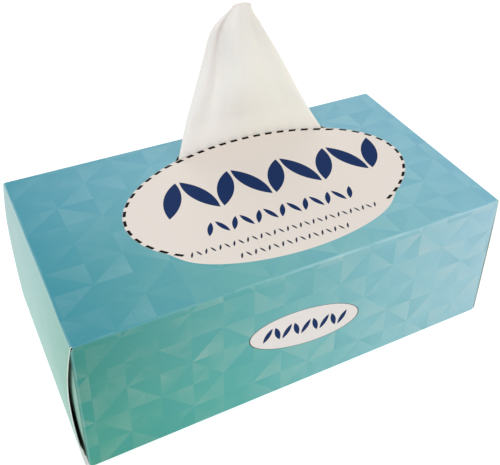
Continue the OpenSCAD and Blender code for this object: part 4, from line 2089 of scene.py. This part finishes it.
@dataclass(frozen=True)
class TissueFinish:
    """Soft paper: its colours, its embossing and how much light goes through it.

    Attributes:
        name: Name of the material.
        light: Its colour.
        shade: The warmer, darker colour to the right, a painted shade of that side.
        emboss: Number of embossed dots in a millimetre.
        painted_shade_side: Places along X between which the painted shade of the right side sets in, in
            millimetres.
        painted_shade_side_share: Share of the place in that, the rest of it drawn by the streaks.
        streak: How much slower the streaks change upwards.
        streak_scale: Number of streaks in a millimetre, and of finer layers.
        fibre_scale: Number of fibres in a millimetre, and of finer layers.
        fibre_shade: Share of the fibres in the brightness, and brightness without them.
        relief: Share of the dots, and of the fibres, in the height of the surface.
        painted_shade_heights: Heights between which it is painted darker, a painted shade towards the
            tip, in millimetres.
        painted_shade_strength: How much darker the painted shade makes it.
        surface: Its gloss.
        sheen: Soft gloss at grazing angles.
        subsurface: Share of the light that goes into the paper.
        scatter: How far that light spreads.
    """

    name: str
    light: str
    shade: str
    emboss: float
    painted_shade_side: tuple[float, float] = (4.0, 30.0)
    painted_shade_side_share: float = 0.75
    streak: float = 0.15
    streak_scale: tuple[float, float] = (0.07, 3.0)
    fibre_scale: tuple[float, float] = (4.5, 5.0)
    fibre_shade: tuple[float, float] = (0.05, 0.97)
    relief: float = 0.5
    painted_shade_heights: tuple[float, float] = (112.0, 156.0)
    painted_shade_strength: float = 0.13
    surface: Surface = Surface(0.89, 0.2, 0.35, 0.12 * MM, 0.06)
    sheen: float = 0.12
    subsurface: float = 0.12
    scatter: float = 1.5 * MM

    def material(self, printer: Printer) -> Material:
        """Material with long streaks of colour, painted warmer and darker to the right as painted shade,
        fine crepe and fibres.

        The paper is painted a little darker towards the tip, as painted shade.

        Args:
            printer: Maker of the card's materials, which starts and finishes this one.

        Returns:
            The material.
        """
        g, shader, place = printer.start(self.name)
        where = place.outputs["Place"]
        drawn_out = g.node("ShaderNodeVectorMath", operation="MULTIPLY")
        g.put(drawn_out.inputs[0], where)
        drawn_out.inputs[1].default_value = (1.0, 1.0, self.streak)
        clouds = g.noise(drawn_out.outputs[0], *self.streak_scale)
        fibre = g.noise(where, *self.fibre_scale)
        crepe = g.node("ShaderNodeTexVoronoi", feature="SMOOTH_F1")
        g.put(crepe.inputs["Vector"], where)
        crepe.inputs["Scale"].default_value = self.emboss
        # painted shade: the right side is blended to the warmer, darker shade colour
        painted_shade_side = g.times(g.step(place.outputs["X"], *self.painted_shade_side), self.painted_shade_side_share)
        painted_shade_side = g.plus(painted_shade_side, g.times(clouds, 1 - self.painted_shade_side_share))
        colour = g.blend(painted_shade_side, linear(self.light), linear(self.shade))
        # painted shade: the paper is darkened with height towards the tip
        painted_shade = g.times(g.step(place.outputs["Z"], *self.painted_shade_heights), self.painted_shade_strength)
        share, least = self.fibre_shade
        shade = g.minus(g.plus(g.times(fibre, share), least), painted_shade)
        g.put(shader.inputs["Base Color"], printer.shaded(g, colour, shade))
        dots = g.times(crepe.outputs["Distance"], self.relief)
        height = g.plus(dots, g.times(fibre, self.relief))
        printer.finish(g, shader, clouds, height, self.surface)
        shader.inputs["Sheen Weight"].default_value = self.sheen
        shader.inputs["Subsurface Weight"].default_value = self.subsurface
        shader.inputs["Subsurface Scale"].default_value = self.scatter
        return bpy.data.materials[self.name]


@dataclass(frozen=True)
class Lamp:
    """Soft area light that faces a point of the object.

    Attributes:
        name: Name of the light.
        place: Where it hangs, in metres.
        size: Side of its square, in metres.
        power: Its power in watts.
    """

    name: str
    place: tuple[float, float, float]
    size: float
    power: float


@dataclass
class Studio:
    """Pale floor, soft light and the camera.

    Attributes:
        camera_place: Where the camera stands.
        camera_turn: Its turn about X, Y and Z in degrees.
        lens: Its focal length in millimetres.
        shift: Its shift, as shares of the picture's width.
        sensor: Width of its sensor in millimetres.
        near: Distance from which it sees.
        floor_half: Half the side of the floor in metres.
        floor_colour: Colour of the floor.
        floor_surface: Its gloss.
        floor_glow: Strength of the light that it gives by itself.
        sky: Strength of the light from all round.
        aim: Point that the lamps face.
        lamps: The area lights.
    """

    camera_place: tuple[float, float, float] = (-149.9 * MM, -291.85 * MM, 324.15 * MM)
    camera_turn: tuple[float, float, float] = (56.481, -2.018, -28.329)
    lens: float = 55.612
    shift: tuple[float, float] = (-0.06145, -0.16565)
    sensor: float = 36.0
    near: float = 10 * MM
    floor_half: float = 4.0
    floor_colour: str = "#D8D8D7"
    floor_surface: Surface = Surface(0.9, 0.05)
    floor_glow: float = 0.5
    sky: float = 0.66
    aim: tuple[float, float, float] = (0.0, 0.0, 50 * MM)
    lamps: tuple[Lamp, ...] = (
        Lamp("key", (-0.9, -1.1, 1.7), 1.4, 17.0),
        Lamp("fill", (1.5, -0.9, 1.1), 1.6, 7.0),
        Lamp("rim", (0.2, 1.5, 1.4), 1.5, 8.0),
    )

    def floor(self) -> None:
        """Large pale floor, a shallow grid whose rows run from front to back."""
        edge = np.linspace(-self.floor_half, self.floor_half, 5)
        x, y = np.meshgrid(edge, edge)
        grid = np.stack([x.T, y.T, np.zeros_like(x)], -1)
        material = bpy.data.materials.new("pale_floor")
        material.use_nodes = True
        shader = next(n for n in material.node_tree.nodes if n.type == "BSDF_PRINCIPLED")
        shader.inputs["Base Color"].default_value = linear(self.floor_colour)
        shader.inputs["Roughness"].default_value = self.floor_surface.roughness
        shader.inputs["Specular IOR Level"].default_value = self.floor_surface.specular
        shader.inputs["Emission Color"].default_value = (1, 1, 1, 1)
        shader.inputs["Emission Strength"].default_value = self.floor_glow
        piece = Skin.of_grid(grid, 0).piece("pale_floor", [material])

    def light(self) -> None:
        """World light from all round and the area lights."""
        world = bpy.data.worlds.new("studio")
        world.use_nodes = True
        sky = next(n for n in world.node_tree.nodes if n.type == "BACKGROUND")
        sky.inputs["Color"].default_value = (1, 1, 1, 1)
        sky.inputs["Strength"].default_value = self.sky
        bpy.context.scene.world = world
        for lamp in self.lamps:
            data = bpy.data.lights.new(lamp.name, "AREA")
            data.energy = lamp.power
            data.size = lamp.size
            piece = bpy.data.objects.new(lamp.name, data)
            towards = np.array(self.aim) - np.array(lamp.place)
            turn = math.atan2(math.hypot(towards[0], towards[1]), -towards[2])
            spin = math.atan2(towards[1], towards[0]) - math.pi / 2
            piece.location = lamp.place
            piece.rotation_euler = (turn, 0, spin)
            bpy.context.scene.collection.objects.link(piece)

    def camera(self) -> None:
        """Camera at the photograph's place and angle, with its framing as a shift."""
        data = bpy.data.cameras.new("camera")
        data.lens = self.lens
        data.sensor_width = self.sensor
        data.shift_x, data.shift_y = self.shift
        data.clip_start = self.near
        piece = bpy.data.objects.new("camera", data)
        piece.location = self.camera_place
        piece.rotation_euler = Euler([math.radians(a) for a in self.camera_turn], "XYZ")
        bpy.context.scene.collection.objects.link(piece)
        bpy.context.scene.camera = piece

    def build(self) -> None:
        """Whole stage, with colours shown as they are."""
        self.floor()
        self.light()
        self.camera()
        view = bpy.context.scene.view_settings
        view.view_transform = "Standard"
        view.look = "None"


UNPRINTED = BoardFinish("unprinted_board", "#A19B91", "#7B756A", Surface(0.8, 0.05, 0.3, spread=0.1))
CUT_EDGE = BoardFinish("cut_card_edge", "#D0DCD4", "#B9C9BF", Surface(0.8, 0.1, 0.4, spread=0.1))
STACKED = TissueFinish("stacked_tissue_paper", "#EFECE6", "#E6E2DA", 1.1)
DRAWN = TissueFinish("drawn_tissue_paper", "#F5EEEB", "#F3ECE2", 1.4)


def main() -> None:
    """Builds the box piece by piece and logs each of them."""
    logging.basicConfig(level=logging.INFO, format="%(name)s: %(message)s")
    Studio().build()
    LOG.info("stage, lights and camera are up")
    oval = Oval()
    printer = Printer(PrintGroups(oval), Ink())
    panels = [printer.panel(look) for look in PANELS]
    inside, edge = printer.board(UNPRINTED), printer.board(CUT_EDGE)
    carton = Carton(oval).build([*panels, inside, edge])
    LOG.info("carton: %d points", len(carton.data.vertices))
    flap = OvalFlap(oval).build(printer.flap(), inside, edge)
    LOG.info("flap: %d points", len(flap.data.vertices))
    stack = TissueStack().build(STACKED.material(printer))
    LOG.info("stack: %d points", len(stack.data.vertices))
    tissue = DrawnTissue(oval).build(DRAWN.material(printer))
    LOG.info("drawn tissue: %d points", len(tissue.data.vertices))


if __name__ == "__main__":
    main()
